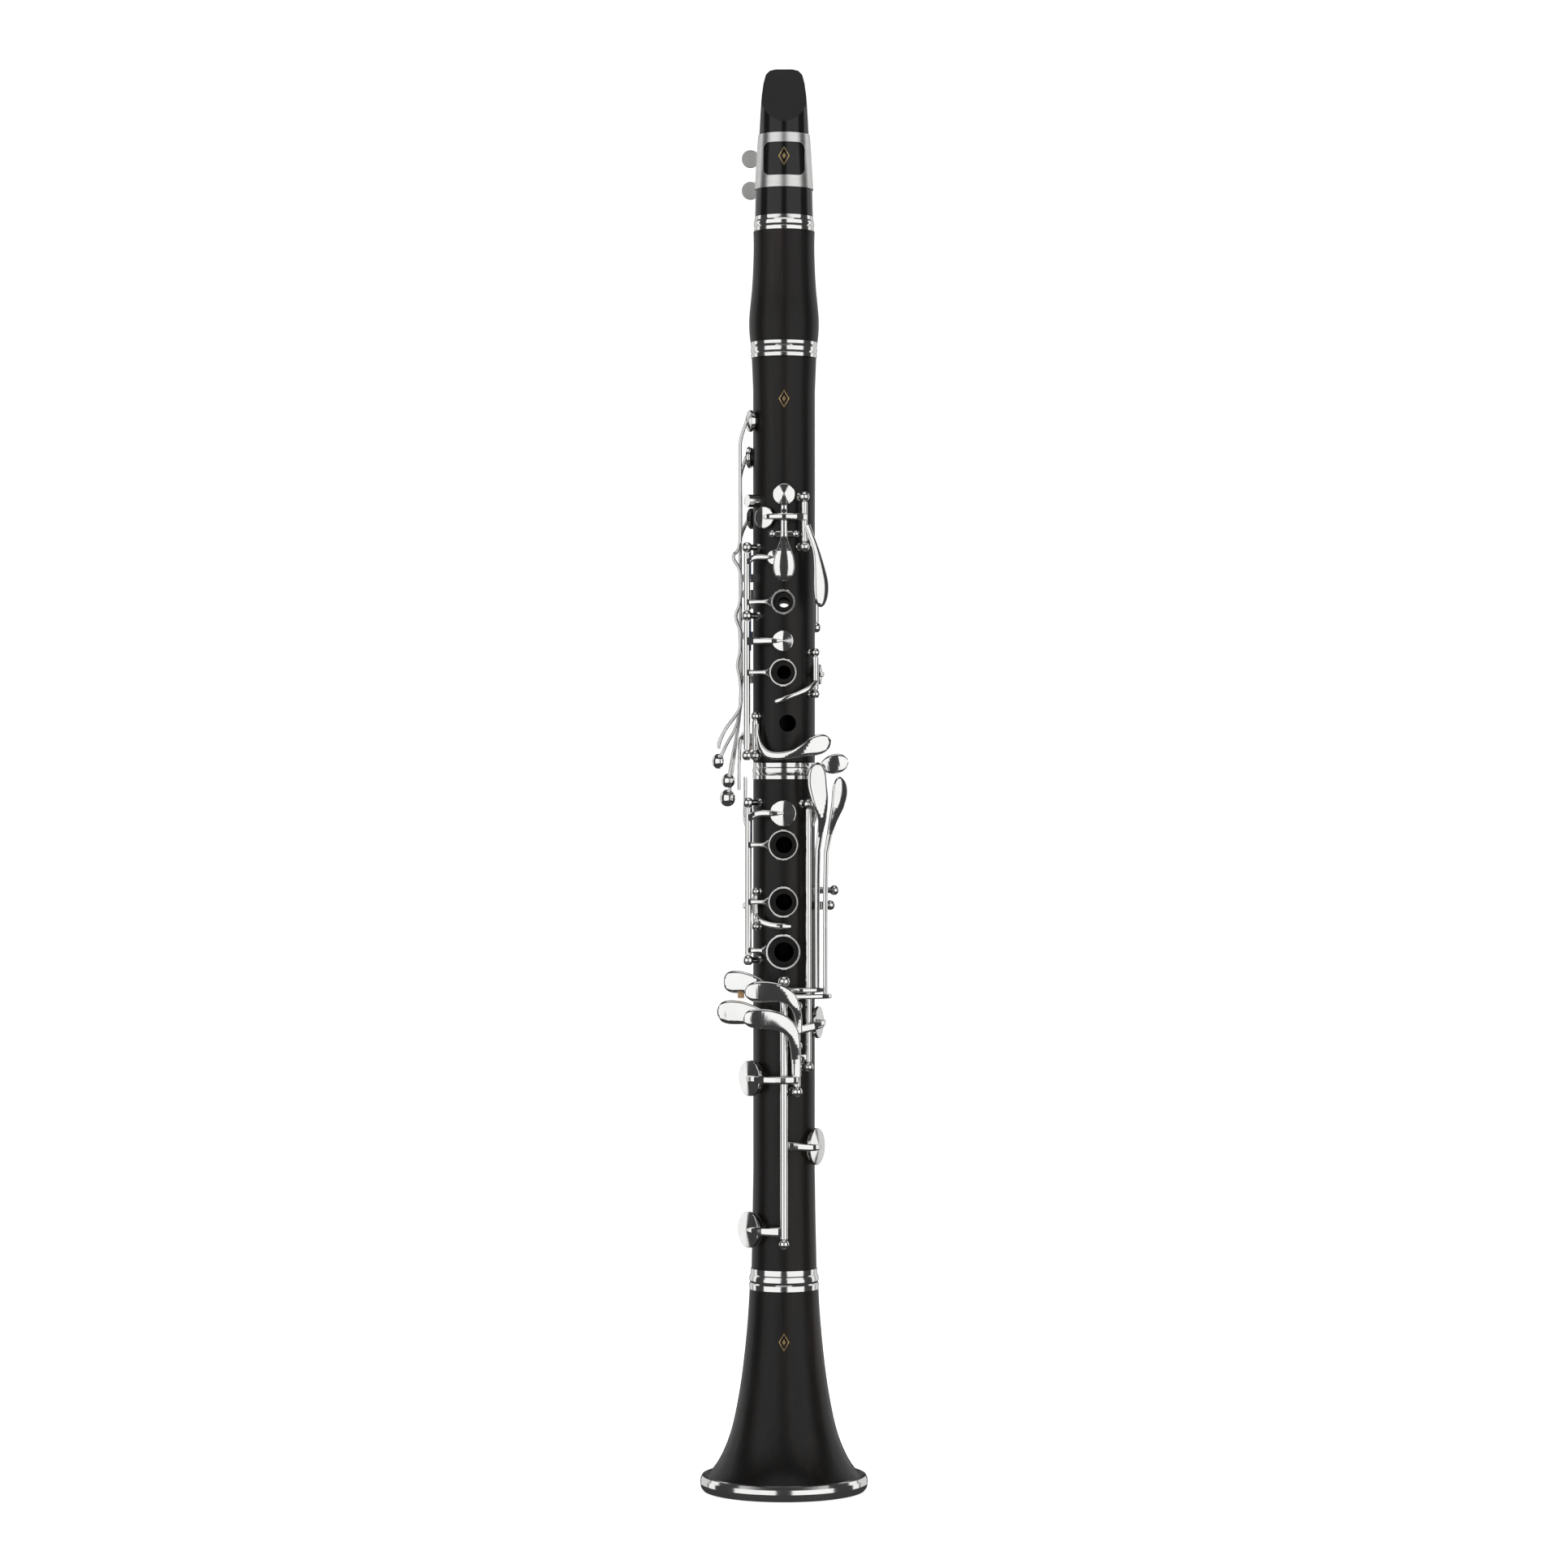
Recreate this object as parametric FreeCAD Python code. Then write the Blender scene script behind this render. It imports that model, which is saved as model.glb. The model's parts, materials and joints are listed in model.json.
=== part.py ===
import FreeCAD, Part
import math
import os

from FreeCAD import Vector

# A B-flat soprano clarinet with Boehm keywork, standing on its bell.
# Z is the bore axis with zero at the bell rim. The tone holes face -Y.
# A place on the tube is (radius, angle, height): the angle is 0 at the front
# (-Y) and grows towards +X. All sizes are in millimetres and degrees.

# Heights of the sections
BELL_TOP = 101.7
MIDDLE_SEAM = 333.5
BARREL_BOTTOM = 519.1
BARREL_TOP = 583.9
TIP = 653.4

# Tube
BORE = 7.4
UPPER_RADIUS = 14.2
LOWER_RADIUS = 14.15
TENON_CORE = 10.3
CORK_RADIUS = 10.92
SOCKET_RADIUS = 11.0
TENON_LENGTH = 15.0
SOCKET_DEPTH = 15.4
LOWER_TENON_CORE = 11.5
LOWER_CORK_RADIUS = 12.12
BELL_SOCKET_RADIUS = 12.2
BELL_RIM_RADIUS = 38.5
BELL_SEAT_RADIUS = 36.6
# Inside radius of each metal ring
BARREL_RING_SEAT = 12.6
MIDDLE_RING_SEAT = 13.0
BELL_RING_SEAT = 13.6
SEAT_HEIGHT = 14.75
CHIMNEY_HEIGHT = 16.6

# Keywork
PIVOT = 1.0
PIVOT_HOLE = 1.03
TUBE_BORE = 1.06
TUBE = 1.5
END_PLAY = 0.12
BALL = 2.4
STEM = 1.35
CUP_WALL = 0.5
CUP_HEIGHT = 3.1
PAD_GAP = 0.1
PAD_THICKNESS = 1.9
CUP_LIP = 0.9
RING_THICKNESS = 1.5
BAR_THICKNESS = 1.6
SPRING_WIRE = 0.3
Z_AXIS = Vector(0, 0, 1)
ORIGIN = Vector(0, 0, 0)

# Rod lines: radius and angle of the lengthwise hinges
UPPER_STACK = (20.9, -54.0)
THROAT_G_SHARP_ROD = (18.5, 30.0)
E_FLAT_ROD = (17.5, 55.0)
C_SHARP_ROD = (16.2, -54.0)
THUMB_ROD = (18.6, 128.0)
LOWER_STACK = (21.0, -51.0)
B_ROD = (16.5, -51.0)
LEVER_ROD = (18.8, 36.0)
CENTRE_ROD = (21.5, 0.0)
UNDER_ROD = (17.0, 0.0)
SIDE_ROD = (21.0, 16.6)

# Posts on each rod line, by height
UPPER_STACK_POSTS = (431.8, 400.6, 336.8)
G_SHARP_POSTS = (454.7, 431.9)
E_FLAT_POSTS = (383.9, 364.9)
C_SHARP_POSTS = (354.8, 336.8)
THUMB_POSTS = (425.0, 396.0)
LOWER_STACK_POSTS = (315.3, 243.4)
B_POSTS = (274.7, 258.8)
LEVER_POSTS = (314.7, 194.8)
CENTRE_POSTS = (234.0, 114.6)
UNDER_POST = 153.3
SIDE_POSTS = (222.8, 204.7, 183.8)
A_KEY_PIVOT = (18.5, 437.6)
# The stout post that steadies the side keys: angle, z, reach
SIDE_KEY_GUIDE = (-61.0, 453.2, 19.4)

# Travel of each key, in degrees
TRAVEL = {
    "register_key": 4.0,
    "throat_a_key": 4.0,
    "throat_g_sharp_key": 5.0,
    "trill_key_1": 2.2,
    "trill_key_2": 2.0,
    "trill_key_3": 1.8,
    "trill_key_4": 1.8,
    "upper_ring_key": 5.0,
    "bridge_ring_key": 5.5,
    "thumb_ring_key": 5.0,
    "c_sharp_key": 5.5,
    "e_flat_key": 5.5,
    "lower_ring_key": 5.5,
    "b_key": 6.0,
    "f_sharp_lever": 3.0,
    "e_lever": 4.0,
    "f_lever": 5.5,
    "f_sharp_key": 7.0,
    "a_flat_key": 7.0,
    "e_key": 7.4,
    "f_key": 7.0,
}
# Cup diameter, angle and height of each covered tone hole
PADS = {
    "register_key": (7.4, 180.0, 478.0),
    "trill_key_4": (9.9, -72.2, 490.0),
    "trill_key_3": (9.9, -105.0, 474.0),
    "trill_key_2": (9.6, -115.0, 446.0),
    "trill_key_1": (9.6, -133.0, 408.0),
    "throat_a_key": (9.95, 0.0, 455.7),
    "throat_g_sharp_key": (10.0, -33.0, 445.3),
    "upper_ring_key": (7.0, -14.0, 427.0),
    "bridge_ring_key": (9.6, 0.0, 388.9),
    "thumb_ring_key": (7.0, 162.0, 416.5),
    "c_sharp_key": (9.2, -90.0, 343.0),
    "e_flat_key": (9.1, 83.0, 374.0),
    "lower_ring_key": (11.9, 0.0, 310.4),
    "b_key": (9.2, -90.0, 268.0),
    "f_sharp_key": (16.8, 65.0, 157.9),
    "a_flat_key": (14.6, 74.0, 214.6),
    "e_key": (16.5, -62.0, 120.1),
    "f_key": (16.3, -60.0, 189.4),
}
# The open hole of the left third finger: radius, angle, z
LEFT_THREE = (3.85, 7.0, 351.5)
# The tone-hole wall is this much narrower than the pad cup, and this thick
SEAT_INSET = 1.1
SEAT_WALL = 1.0
OPEN_STANDING = (
    "upper_ring_key",
    "bridge_ring_key",
    "thumb_ring_key",
    "lower_ring_key",
    "e_key",
    "f_key",
)


def outward(angle):
    """Unit vector that points away from the bore at this angle."""
    a = math.radians(angle)
    return Vector(math.sin(a), -math.cos(a), 0)


def along(angle):
    """Unit vector round the tube, towards larger angles."""
    a = math.radians(angle)
    return Vector(math.cos(a), math.sin(a), 0)


def at(radius, angle, z):
    """The point at a radius, an angle and a height."""
    return outward(angle) * radius + Vector(0, 0, z)


def fuse(shapes):
    """One shape from overlapping solids."""
    return shapes[0].multiFuse(shapes[1:]) if len(shapes) > 1 else shapes[0]


def cylinder(start, end, radius):
    """A round rod between two points."""
    run = end - start
    return Part.makeCylinder(radius, run.Length, start, run)


def ring_solid(outer, inner, low, high):
    """A plain collar about the bore axis."""
    collar = Part.makeCylinder(outer, high - low, Vector(0, 0, low))
    return collar.cut(Part.makeCylinder(inner, high - low + 2, Vector(0, 0, low - 1)))


def turned(profile, smooth=False):
    """A solid of revolution about Z from (radius, z) points."""
    points = [Vector(r, 0, z) for r, z in profile]
    if smooth:
        curve = Part.BSplineCurve()
        curve.interpolate(points)
        edges = [curve.toShape()]
        corners = [points[-1], Vector(0, 0, points[-1].z), Vector(0, 0, points[0].z), points[0]]
        edges += [Part.makeLine(a, b) for a, b in zip(corners, corners[1:])]
        wire = Part.Wire(edges)
    else:
        wire = Part.makePolygon(points + points[:1])
    return Part.Face(wire).revolve(ORIGIN, Z_AXIS, 360)


def section(centre, across, up, width, thickness):
    """A closed rounded-oblong wire, wider across than up."""
    points = []
    count = 14
    for i in range(count):
        a = 2 * math.pi * i / count
        c, s = math.cos(a), math.sin(a)
        u = math.copysign(abs(c) ** 0.8, c) * width / 2
        v = math.copysign(abs(s) ** 0.8, s) * thickness / 2
        points.append(centre + across * u + up * v)
    curve = Part.BSplineCurve()
    curve.interpolate(points, PeriodicFlag=True)
    return Part.Wire(curve.toShape())


def smooth_steps(stations, steps):
    """Catmull-Rom points through rows of numbers."""
    rows = [stations[0]] + list(stations) + [stations[-1]]
    result = []
    for i in range(1, len(rows) - 2):
        for k in range(steps):
            t = k / steps
            row = []
            for p0, p1, p2, p3 in zip(rows[i - 1], rows[i], rows[i + 1], rows[i + 2]):
                slope = (p2 - p0) / 2
                next_slope = (p3 - p1) / 2
                row.append(
                    (2 * t**3 - 3 * t**2 + 1) * p1
                    + (t**3 - 2 * t**2 + t) * slope
                    + (3 * t**2 - 2 * t**3) * p2
                    + (t**3 - t**2) * next_slope
                )
            result.append(row)
    result.append(list(stations[-1]))
    return result


def bar(points, normals, sizes):
    """A smooth bar through points: each has an outward normal and (width, thickness)."""
    wires = []
    for i, point in enumerate(points):
        ahead = points[min(i + 1, len(points) - 1)]
        behind = points[max(i - 1, 0)]
        run = (ahead - behind).normalize()
        across = run.cross(normals[i]).normalize()
        up = across.cross(run).normalize()
        wires.append(section(point, across, up, *sizes[i]))
    return Part.makeLoft(wires, True, True)


def arm(stations, steps=4):
    """A bar that wraps round the tube, through rows of radius, angle, z, width, thickness."""
    rows = smooth_steps(stations, steps)
    points = [at(*row[:3]) for row in rows]
    normals = [outward(row[1]) for row in rows]
    return bar(points, normals, [row[3:] for row in rows])


def flat_bar(stations, steps=4):
    """A bar that faces the front, through rows of x, distance outward, z, width, thickness."""
    return shaped([(x, out, z, 0, width, thickness) for x, out, z, width, thickness in stations], steps)


def shaped(stations, steps=4):
    """A bar that twists, through rows of x, distance to the front, z, facing angle, width, thickness."""
    rows = smooth_steps(stations, steps)
    points = [Vector(row[0], -row[1], row[2]) for row in rows]
    normals = [outward(row[3]) for row in rows]
    return bar(points, normals, [row[4:] for row in rows])


def radial_disc(profile, angle, z):
    """A solid of revolution about the outward line at a place, from (radius, distance) points."""
    points = [Vector(r, -d, 0) for r, d in profile]
    face = Part.Face(Part.makePolygon(points + points[:1]))
    solid = face.revolve(ORIGIN, Vector(0, 1, 0), 360)
    solid.rotate(ORIGIN, Z_AXIS, angle)
    solid.translate(Vector(0, 0, z))
    return solid


def cup(diameter, angle, z, seat=SEAT_HEIGHT):
    """A pad cup over a closed seat, with a shallow conical top."""
    r = diameter / 2
    inner = seat + PAD_GAP + PAD_THICKNESS
    return radial_disc(
        [
            (0, inner),
            (r - CUP_WALL, inner),
            (r - CUP_WALL, seat + CUP_LIP),
            (r, seat + CUP_LIP),
            (r, inner + 0.05),
            (r - 0.1, inner + 0.2),
            (r - 0.3, inner + 0.3),
            (0.4, seat + CUP_HEIGHT),
            (0, seat + CUP_HEIGHT),
        ],
        angle,
        z,
    )


def pad(diameter, angle, z, seat=SEAT_HEIGHT):
    """The skin-covered felt pad that sits in a cup."""
    r = diameter / 2 - CUP_WALL
    low = seat + PAD_GAP
    high = low + PAD_THICKNESS
    return radial_disc([(0, low), (r - 0.3, low), (r, low + 0.3), (r, high), (0, high)], angle, z)


def chimney(radius, angle, z, height):
    """A round tone-hole wall that stands out of the tube."""
    return cylinder(at(BORE + 3, angle, z), at(height, angle, z), radius)


def hole(radius, angle, z):
    """A cutter for one tone hole."""
    return cylinder(at(0, angle, z), at(UPPER_RADIUS + 9, angle, z), radius)


def finger_ring(inner, outer, z, angle=0.0):
    """A ring that sinks flush with the chimney inside it."""
    low = CHIMNEY_HEIGHT - RING_THICKNESS
    bevel = 0.3
    return radial_disc(
        [
            (inner, low),
            (outer - bevel, low),
            (outer, low + bevel),
            (outer, CHIMNEY_HEIGHT - bevel),
            (outer - bevel, CHIMNEY_HEIGHT),
            (inner, CHIMNEY_HEIGHT),
        ],
        angle,
        z,
    )


def key_tube(line, low, high, radius=TUBE):
    """The outside of a hinge tube on a rod line."""
    return cylinder(at(*line, low + END_PLAY), at(*line, high - END_PLAY), radius)


def bored(shapes, line, low, high):
    """A key with its hinge tube bored out."""
    return fuse(shapes).cut(cylinder(at(*line, low - 1), at(*line, high + 1), TUBE_BORE))


def post(line, z, body, ball=BALL, lower_hole=None):
    """A turned post: flared foot, waisted stem and drilled ball."""
    radius, angle = line
    foot = ball - 0.4
    turning = radial_disc(
        [
            (0, body - 3),
            (foot, body - 3),
            (foot, body + 0.5),
            (foot * 0.85, body + 0.95),
            (STEM, body + 1.4),
            (STEM, radius),
            (0, radius),
        ],
        angle,
        z,
    )
    solid = turning.fuse(Part.makeSphere(ball, at(radius, angle, z)))
    holes = [line]
    if lower_hole:
        collar = Part.makeSphere(BALL, at(*lower_hole, z))
        solid = solid.fuse(collar)
        holes.append(lower_hole)
    for one in holes:
        solid = solid.cut(cylinder(at(*one, z - 5), at(*one, z + 5), PIVOT_HOLE))
    return solid.cut(Part.makeCylinder(body, 20, Vector(0, 0, z - 10)))


def rod(line, low, high, reach=2.2):
    """The steel pivot rod through two posts."""
    return cylinder(at(*line, low - reach), at(*line, high + reach), PIVOT)


def spring(line, z, length, side=-2.0):
    """A needle spring that lies beside a hinge tube, from the ball of a post."""
    radius, angle = line
    step = math.copysign(1.7, length)
    return cylinder(at(radius + side, angle, z + step), at(radius + side, angle, z + length), SPRING_WIRE)


def spun(shape, angle):
    """The shape turned about the bore axis from the front to an angle."""
    result = shape.copy()
    result.rotate(ORIGIN, Z_AXIS, angle)
    return result


# Seesaw keys hinge on a short cross pin. They are made at the front and spun into place.
LUG_WIDTH = 1.3
CHEEK_GAP = 0.15
CHEEK = 0.95


def seesaw_lug(slot, pin, z, top):
    """The lug under a seesaw key, with its pin hole."""
    eye = cylinder(Vector(slot - LUG_WIDTH / 2, -pin, z), Vector(slot + LUG_WIDTH / 2, -pin, z), TUBE)
    web = Part.makeBox(LUG_WIDTH, top - pin, 2 * TUBE, Vector(slot - LUG_WIDTH / 2, -top, z - TUBE))
    return fuse([eye, web])


def seesaw_hole(slot, pin, z):
    """The cutter for the pin hole of a lug."""
    return cylinder(Vector(slot - 3, -pin, z), Vector(slot + 3, -pin, z), TUBE_BORE)


def saddle(slot, pin, z):
    """The forked saddle that holds a seesaw key's pin."""
    half = LUG_WIDTH / 2 + CHEEK_GAP + CHEEK
    depth = 3.6
    block = Part.makeBox(2 * half, pin + 1.4 - 5, depth, Vector(slot - half, -pin - 1.4, z - depth / 2))
    slit = LUG_WIDTH + 2 * CHEEK_GAP
    gap = Part.makeBox(slit, 5, depth + 2, Vector(slot - slit / 2, -pin - 2.5, z - depth / 2 - 1))
    solid = block.cut(gap)
    solid = solid.cut(cylinder(Vector(slot - 4, -pin, z), Vector(slot + 4, -pin, z), PIVOT_HOLE))
    return solid.cut(Part.makeCylinder(UPPER_RADIUS, 20, Vector(0, 0, z - 10)))


def saddle_pin(slot, pin, z):
    """The short pin of a saddle."""
    half = LUG_WIDTH / 2 + CHEEK_GAP + CHEEK
    return cylinder(Vector(slot - half, -pin, z), Vector(slot + half, -pin, z), PIVOT)


# Seesaw keys: side angle, slot, pin radius, pin height
SEESAWS = {
    "register_key": (180.0, 0.0, 17.4, 451.0),
    "trill_key_4": (-90.0, 4.9, 17.4, 418.0),
    "trill_key_3": (-90.0, 0.6, 17.4, 411.0),
    "trill_key_2": (-90.0, -3.7, 17.4, 392.0),
    "trill_key_1": (-90.0, -8.0, 17.4, 372.0),
}
BAR_RADIUS = 20.1
SIDE_KEY_SWEEP = 359.0
# Touches of the trill keys: how far out, height, diameter, and how far each faces forwards
TRILL_TOUCHES = {
    "trill_key_4": (31.0, 341.9, 6.8, 42.0),
    "trill_key_3": (31.1, 334.2, 6.8, 42.0),
    "trill_key_2": (26.4, 325.3, 6.6, 62.0),
    "trill_key_1": (26.8, 317.3, 7.8, 62.0),
}
TOUCH_DEPTH = 2.2
# Where the front bar bows out to clear the posts: z, and how far
BOWS = ((428.0, 3.2), (400.6, 2.0), (378.0, 1.2))
BOW_LENGTH = 7.0
# Levers of the left little finger: angle, bar radius, pin radius, pin height
F_SHARP_LEVER = (49.0, 20.0, 17.4, 275.0)
E_LEVER = (60.0, 21.8, 19.2, 268.2)
LEVER_END = {"f_sharp_lever": 229.2, "e_lever": 226.2}
TALL_POST = {"f_sharp_lever": 15.0, "e_lever": 9.0}


def button(centre, facing, diameter):
    """A round domed touch."""
    axis = outward(facing)
    ball_radius = (diameter**2 / 4 + TOUCH_DEPTH**2) / (2 * TOUCH_DEPTH)
    dome = Part.makeSphere(ball_radius, centre - axis * (ball_radius - TOUCH_DEPTH))
    disc = cylinder(centre - axis * 0.8, centre + axis * TOUCH_DEPTH, diameter / 2)
    return disc.common(dome)


def bar_rows(name, top, bottom):
    """The long bar of a side key between two heights, bowed past the posts."""
    slot, z = SEESAWS[name][1], SEESAWS[name][3]
    rows = [(top, 0.0)]
    for bow_z, lift in BOWS if name == "trill_key_4" else ():
        rows += [(bow_z + BOW_LENGTH, 0.0), (bow_z, lift), (bow_z - BOW_LENGTH, 0.0)]
    if name != "trill_key_4":
        rows.append((z, 0.0))
    rows.append((bottom, 0.0))
    return [(slot, BAR_RADIUS + lift, row_z, 2.9, BAR_THICKNESS) for row_z, lift in rows]


def trill_key(name):
    """One side key: pad arm, long bar, raised round touch."""
    side, slot, pin, z = SEESAWS[name]
    size, pad_angle, pad_z = PADS[name]
    angle = pad_angle - side
    far, touch_z, touch, forwards = TRILL_TOUCHES[name]
    cap = SEAT_HEIGHT + CUP_HEIGHT
    pad_place = at(cap + 0.1, angle, pad_z)
    sweep = max(SIDE_KEY_SWEEP, touch_z + 17)
    rows = [
        (pad_place.x, -pad_place.y, pad_z, 2.4, BAR_THICKNESS),
        (slot, BAR_RADIUS - 0.2, pad_z - 9, 2.6, BAR_THICKNESS),
    ]
    rows += bar_rows(name, pad_z - 20, sweep)
    rows += [
        (slot, (BAR_RADIUS + far) / 2 + 1.2, touch_z + 7, 2.9, BAR_THICKNESS),
        (slot, far - 1.4, touch_z + 1, 3.4, 1.8),
        (slot, far - 1.2, touch_z - 2, 2.4, 1.2),
    ]
    dome = button(Vector(slot, -far + 0.6, touch_z), forwards, touch)
    solid = fuse([flat_bar(rows), dome, cup(size, angle, pad_z), seesaw_lug(slot, pin, z, BAR_RADIUS)])
    solid = solid.cut(seesaw_hole(slot, pin, z))
    return spun(solid, side), spun(pad(size, angle, pad_z), side)


def register_key():
    """The octave key at the back, worked by the left thumb."""
    side, slot, pin, z = SEESAWS["register_key"]
    size, pad_angle, pad_z = PADS["register_key"]
    angle = pad_angle - side
    cap = SEAT_HEIGHT + CUP_HEIGHT
    beam = flat_bar(
        [
            (0, cap + 0.1, pad_z, 2.4, BAR_THICKNESS),
            (0, 19.6, pad_z - 7, 2.6, BAR_THICKNESS),
            (0, BAR_RADIUS, z, 3.2, BAR_THICKNESS),
            (0, 20.2, 437.0, 3.6, BAR_THICKNESS),
            (0, 20.6, 429.0, 7.0, BAR_THICKNESS),
            (0, 20.2, 423.0, 6.4, BAR_THICKNESS),
            (0, 19.9, 420.5, 2.0, 1.0),
        ]
    )
    solid = fuse([beam, cup(size, angle, pad_z), seesaw_lug(slot, pin, z, BAR_RADIUS)])
    solid = solid.cut(seesaw_hole(slot, pin, z))
    return spun(solid, side), spun(pad(size, angle, pad_z), side)


def throat_a_key():
    """The throat A key: cup above its cross hinge, teardrop touch below."""
    pin, z = A_KEY_PIVOT
    size, _, pad_z = PADS["throat_a_key"]
    half = 3.7
    barrel_tube = cylinder(Vector(-half, -pin, z), Vector(half, -pin, z), TUBE)
    cap = SEAT_HEIGHT + CUP_HEIGHT
    beam = flat_bar(
        [
            (0, cap, pad_z + 0.6, 0.5, 0.5),
            (0, cap + 0.3, pad_z - 2.4, 2.4, 1.2),
            (0, 19.2, pad_z - 7, 2.9, 1.9),
            (0, 19.7, z, 3.0, 1.9),
            (0, 20.6, 433.6, 4.2, 2.0),
            (0, 21.5, 428.0, 8.2, 2.6),
            (0, 21.9, 422.6, 9.9, 3.0),
            (0, 21.7, 418.6, 8.0, 2.6),
            (0, 21.3, 416.6, 4.6, 1.7),
            (0, 21.1, 415.9, 1.4, 0.8),
        ]
    )
    screw = cylinder(Vector(0, -19, 447.9), Vector(0, -21.0, 447.9), 1.1)
    solid = fuse([barrel_tube, beam, screw, cup(size, 0, pad_z)])
    solid = solid.cut(cylinder(Vector(-9, -pin, z), Vector(9, -pin, z), TUBE_BORE))
    return solid, pad(size, 0, pad_z)


def throat_g_sharp_key():
    """The throat G-sharp key: its arm crosses over the A key."""
    line = THROAT_G_SHARP_ROD
    high, low = G_SHARP_POSTS
    high -= BALL
    low += BALL
    size, *place = PADS["throat_g_sharp_key"]
    radius, angle = line
    cross = arm(
        [
            (radius + 1.0, angle, 445.3, 3.4, BAR_THICKNESS),
            (22.6, 14, 445.3, 3.0, BAR_THICKNESS),
            (23.4, -2, 445.3, 2.8, BAR_THICKNESS),
            (21.6, -20, 445.3, 2.4, BAR_THICKNESS),
            (SEAT_HEIGHT + CUP_HEIGHT + 0.5, -29, 445.3, 1.8, 1.0),
            (SEAT_HEIGHT + CUP_HEIGHT, -34, 445.3, 0.5, 0.5),
        ]
    )
    touch = shaped(
        [
            (10.4, 16.9, 441.5, 32, 3.4, 1.8),
            (12.2, 17.0, 436.8, 36, 3.2, 2.0),
            (14.5, 16.8, 430.0, 36, 3.8, 2.2),
            (15.9, 16.6, 423.0, 34, 5.8, 2.6),
            (16.8, 16.3, 415.6, 32, 7.8, 3.0),
            (16.9, 16.0, 410.0, 32, 7.4, 2.8),
            (16.7, 15.8, 406.2, 32, 5.0, 2.1),
            (16.6, 15.7, 404.4, 32, 1.4, 0.9),
        ]
    )
    shapes = [key_tube(line, low, high), cross, touch, cup(size, *place)]
    return bored(shapes, line, low, high), pad(size, *place)


def ring_arm(line, z, ring_outer, ring_inner):
    """The arm from a stack tube to a finger ring, with a wedge where they meet."""
    radius, angle = line
    level = CHIMNEY_HEIGHT - RING_THICKNESS / 2

    def reach(x):
        return math.hypot(x, level), -math.degrees(math.atan2(x, level))

    neck_radius, neck_angle = reach(ring_outer + 2.4)
    edge_radius, edge_angle = reach((ring_outer + ring_inner) / 2)
    return arm(
        [
            (radius, angle + 3.5, z, 3.2, BAR_THICKNESS),
            (radius - 0.4, angle + 9, z, 2.3, BAR_THICKNESS),
            (neck_radius + 0.1, neck_angle, z, 2.0, 1.5),
            (edge_radius, edge_angle, z, 5.4, 1.2),
        ]
    )


def pad_arm(line, z, end_angle, start_z=None, width=3.0, seat=SEAT_HEIGHT):
    """The arm from a tube to a pad cup, pointed over the middle of the cup."""
    radius, angle = line
    cap = seat + CUP_HEIGHT
    turn = math.copysign(1, end_angle - angle)
    begin = z if start_z is None else start_z
    lean = (end_angle - angle) * 0.28
    return arm(
        [
            (radius + 0.2, angle + 3.6 * turn, begin, width + 0.8, BAR_THICKNESS),
            ((radius * 2 + cap) / 3 + 0.6, angle + (end_angle - angle) * 0.36, z, width, BAR_THICKNESS),
            ((cap + 0.4) / math.cos(math.radians(lean)), end_angle - lean, z, width - 0.4, 1.5),
            (cap + 0.1, end_angle - 3 * turn, z, 1.2, 0.9),
            (cap - 0.1, end_angle + 1.5 * turn, z, 0.5, 0.5),
        ]
    )


def bridge_lever(line, tube_z, tip_z, rise):
    """A bridge lever that runs past the post, beside the rod line."""
    radius, angle = line
    centre = at(radius, angle, 0)
    away = along(angle) * -1
    run = math.copysign(1, tip_z - tube_z)
    base = tube_z - run * 4.5
    rows = [
        (1.0, 0.2, base, 3.4),
        (3.2, rise * 0.4, base + run * 1.5, 3.0),
        (4.5, rise * 0.8, base + run * 4.5, 2.2),
        (4.6, rise, tip_z - run * 6, 2.2),
        (4.6, rise, tip_z, 2.4),
    ]
    points = []
    sizes = []
    for side, lift, z, width in smooth_steps(rows, 3):
        points.append(centre + away * side + outward(angle) * lift + Vector(0, 0, z))
        sizes.append((width, 1.3))
    return bar(points, [outward(angle)] * len(points), sizes)


# Finger rings: z, chimney radius, ring inside, ring outside, hole radius
UPPER_RING = (406.7, 4.0, 4.75, 5.8, 2.5)
MIDDLE_RING = (374.6, 4.9, 5.6, 6.45, 3.15)
RIGHT_RINGS = (
    (296.0, 5.5, 6.25, 7.05, 3.8),
    (270.0, 5.5, 6.25, 7.05, 3.8),
    (247.3, 6.4, 7.15, 8.1, 4.45),
)
THUMB_RING = (404.0, 5.0, 5.75, 6.7, 3.3)


def upper_ring_key():
    """The first-finger ring and its vent pad under the A key."""
    line = UPPER_STACK
    high = UPPER_STACK_POSTS[0] - BALL
    low = UPPER_STACK_POSTS[1] + BALL
    z, _, inner, outer, _ = UPPER_RING
    size, *vent = PADS["upper_ring_key"]
    shapes = [
        key_tube(line, low, high),
        finger_ring(inner, outer, z),
        ring_arm(line, z, outer, inner),
        pad_arm(line, vent[1], vent[0], start_z=425.5, width=2.6),
        cup(size, *vent),
    ]
    return bored(shapes, line, low, high), pad(size, *vent)


def bridge_ring_key():
    """The second-finger ring, its pad and the lever to the lower joint."""
    line = UPPER_STACK
    high = UPPER_STACK_POSTS[1] - BALL
    low = UPPER_STACK_POSTS[2] + BALL
    z, _, inner, outer, _ = MIDDLE_RING
    size, *place = PADS["bridge_ring_key"]
    shapes = [
        key_tube(line, low, high),
        finger_ring(inner, outer, z),
        ring_arm(line, z, outer, inner),
        pad_arm(line, place[1], place[0]),
        cup(size, *place),
        bridge_lever(line, low + 3, 321.0, 1.5),
    ]
    return bored(shapes, line, low, high), pad(size, *place)


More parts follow.
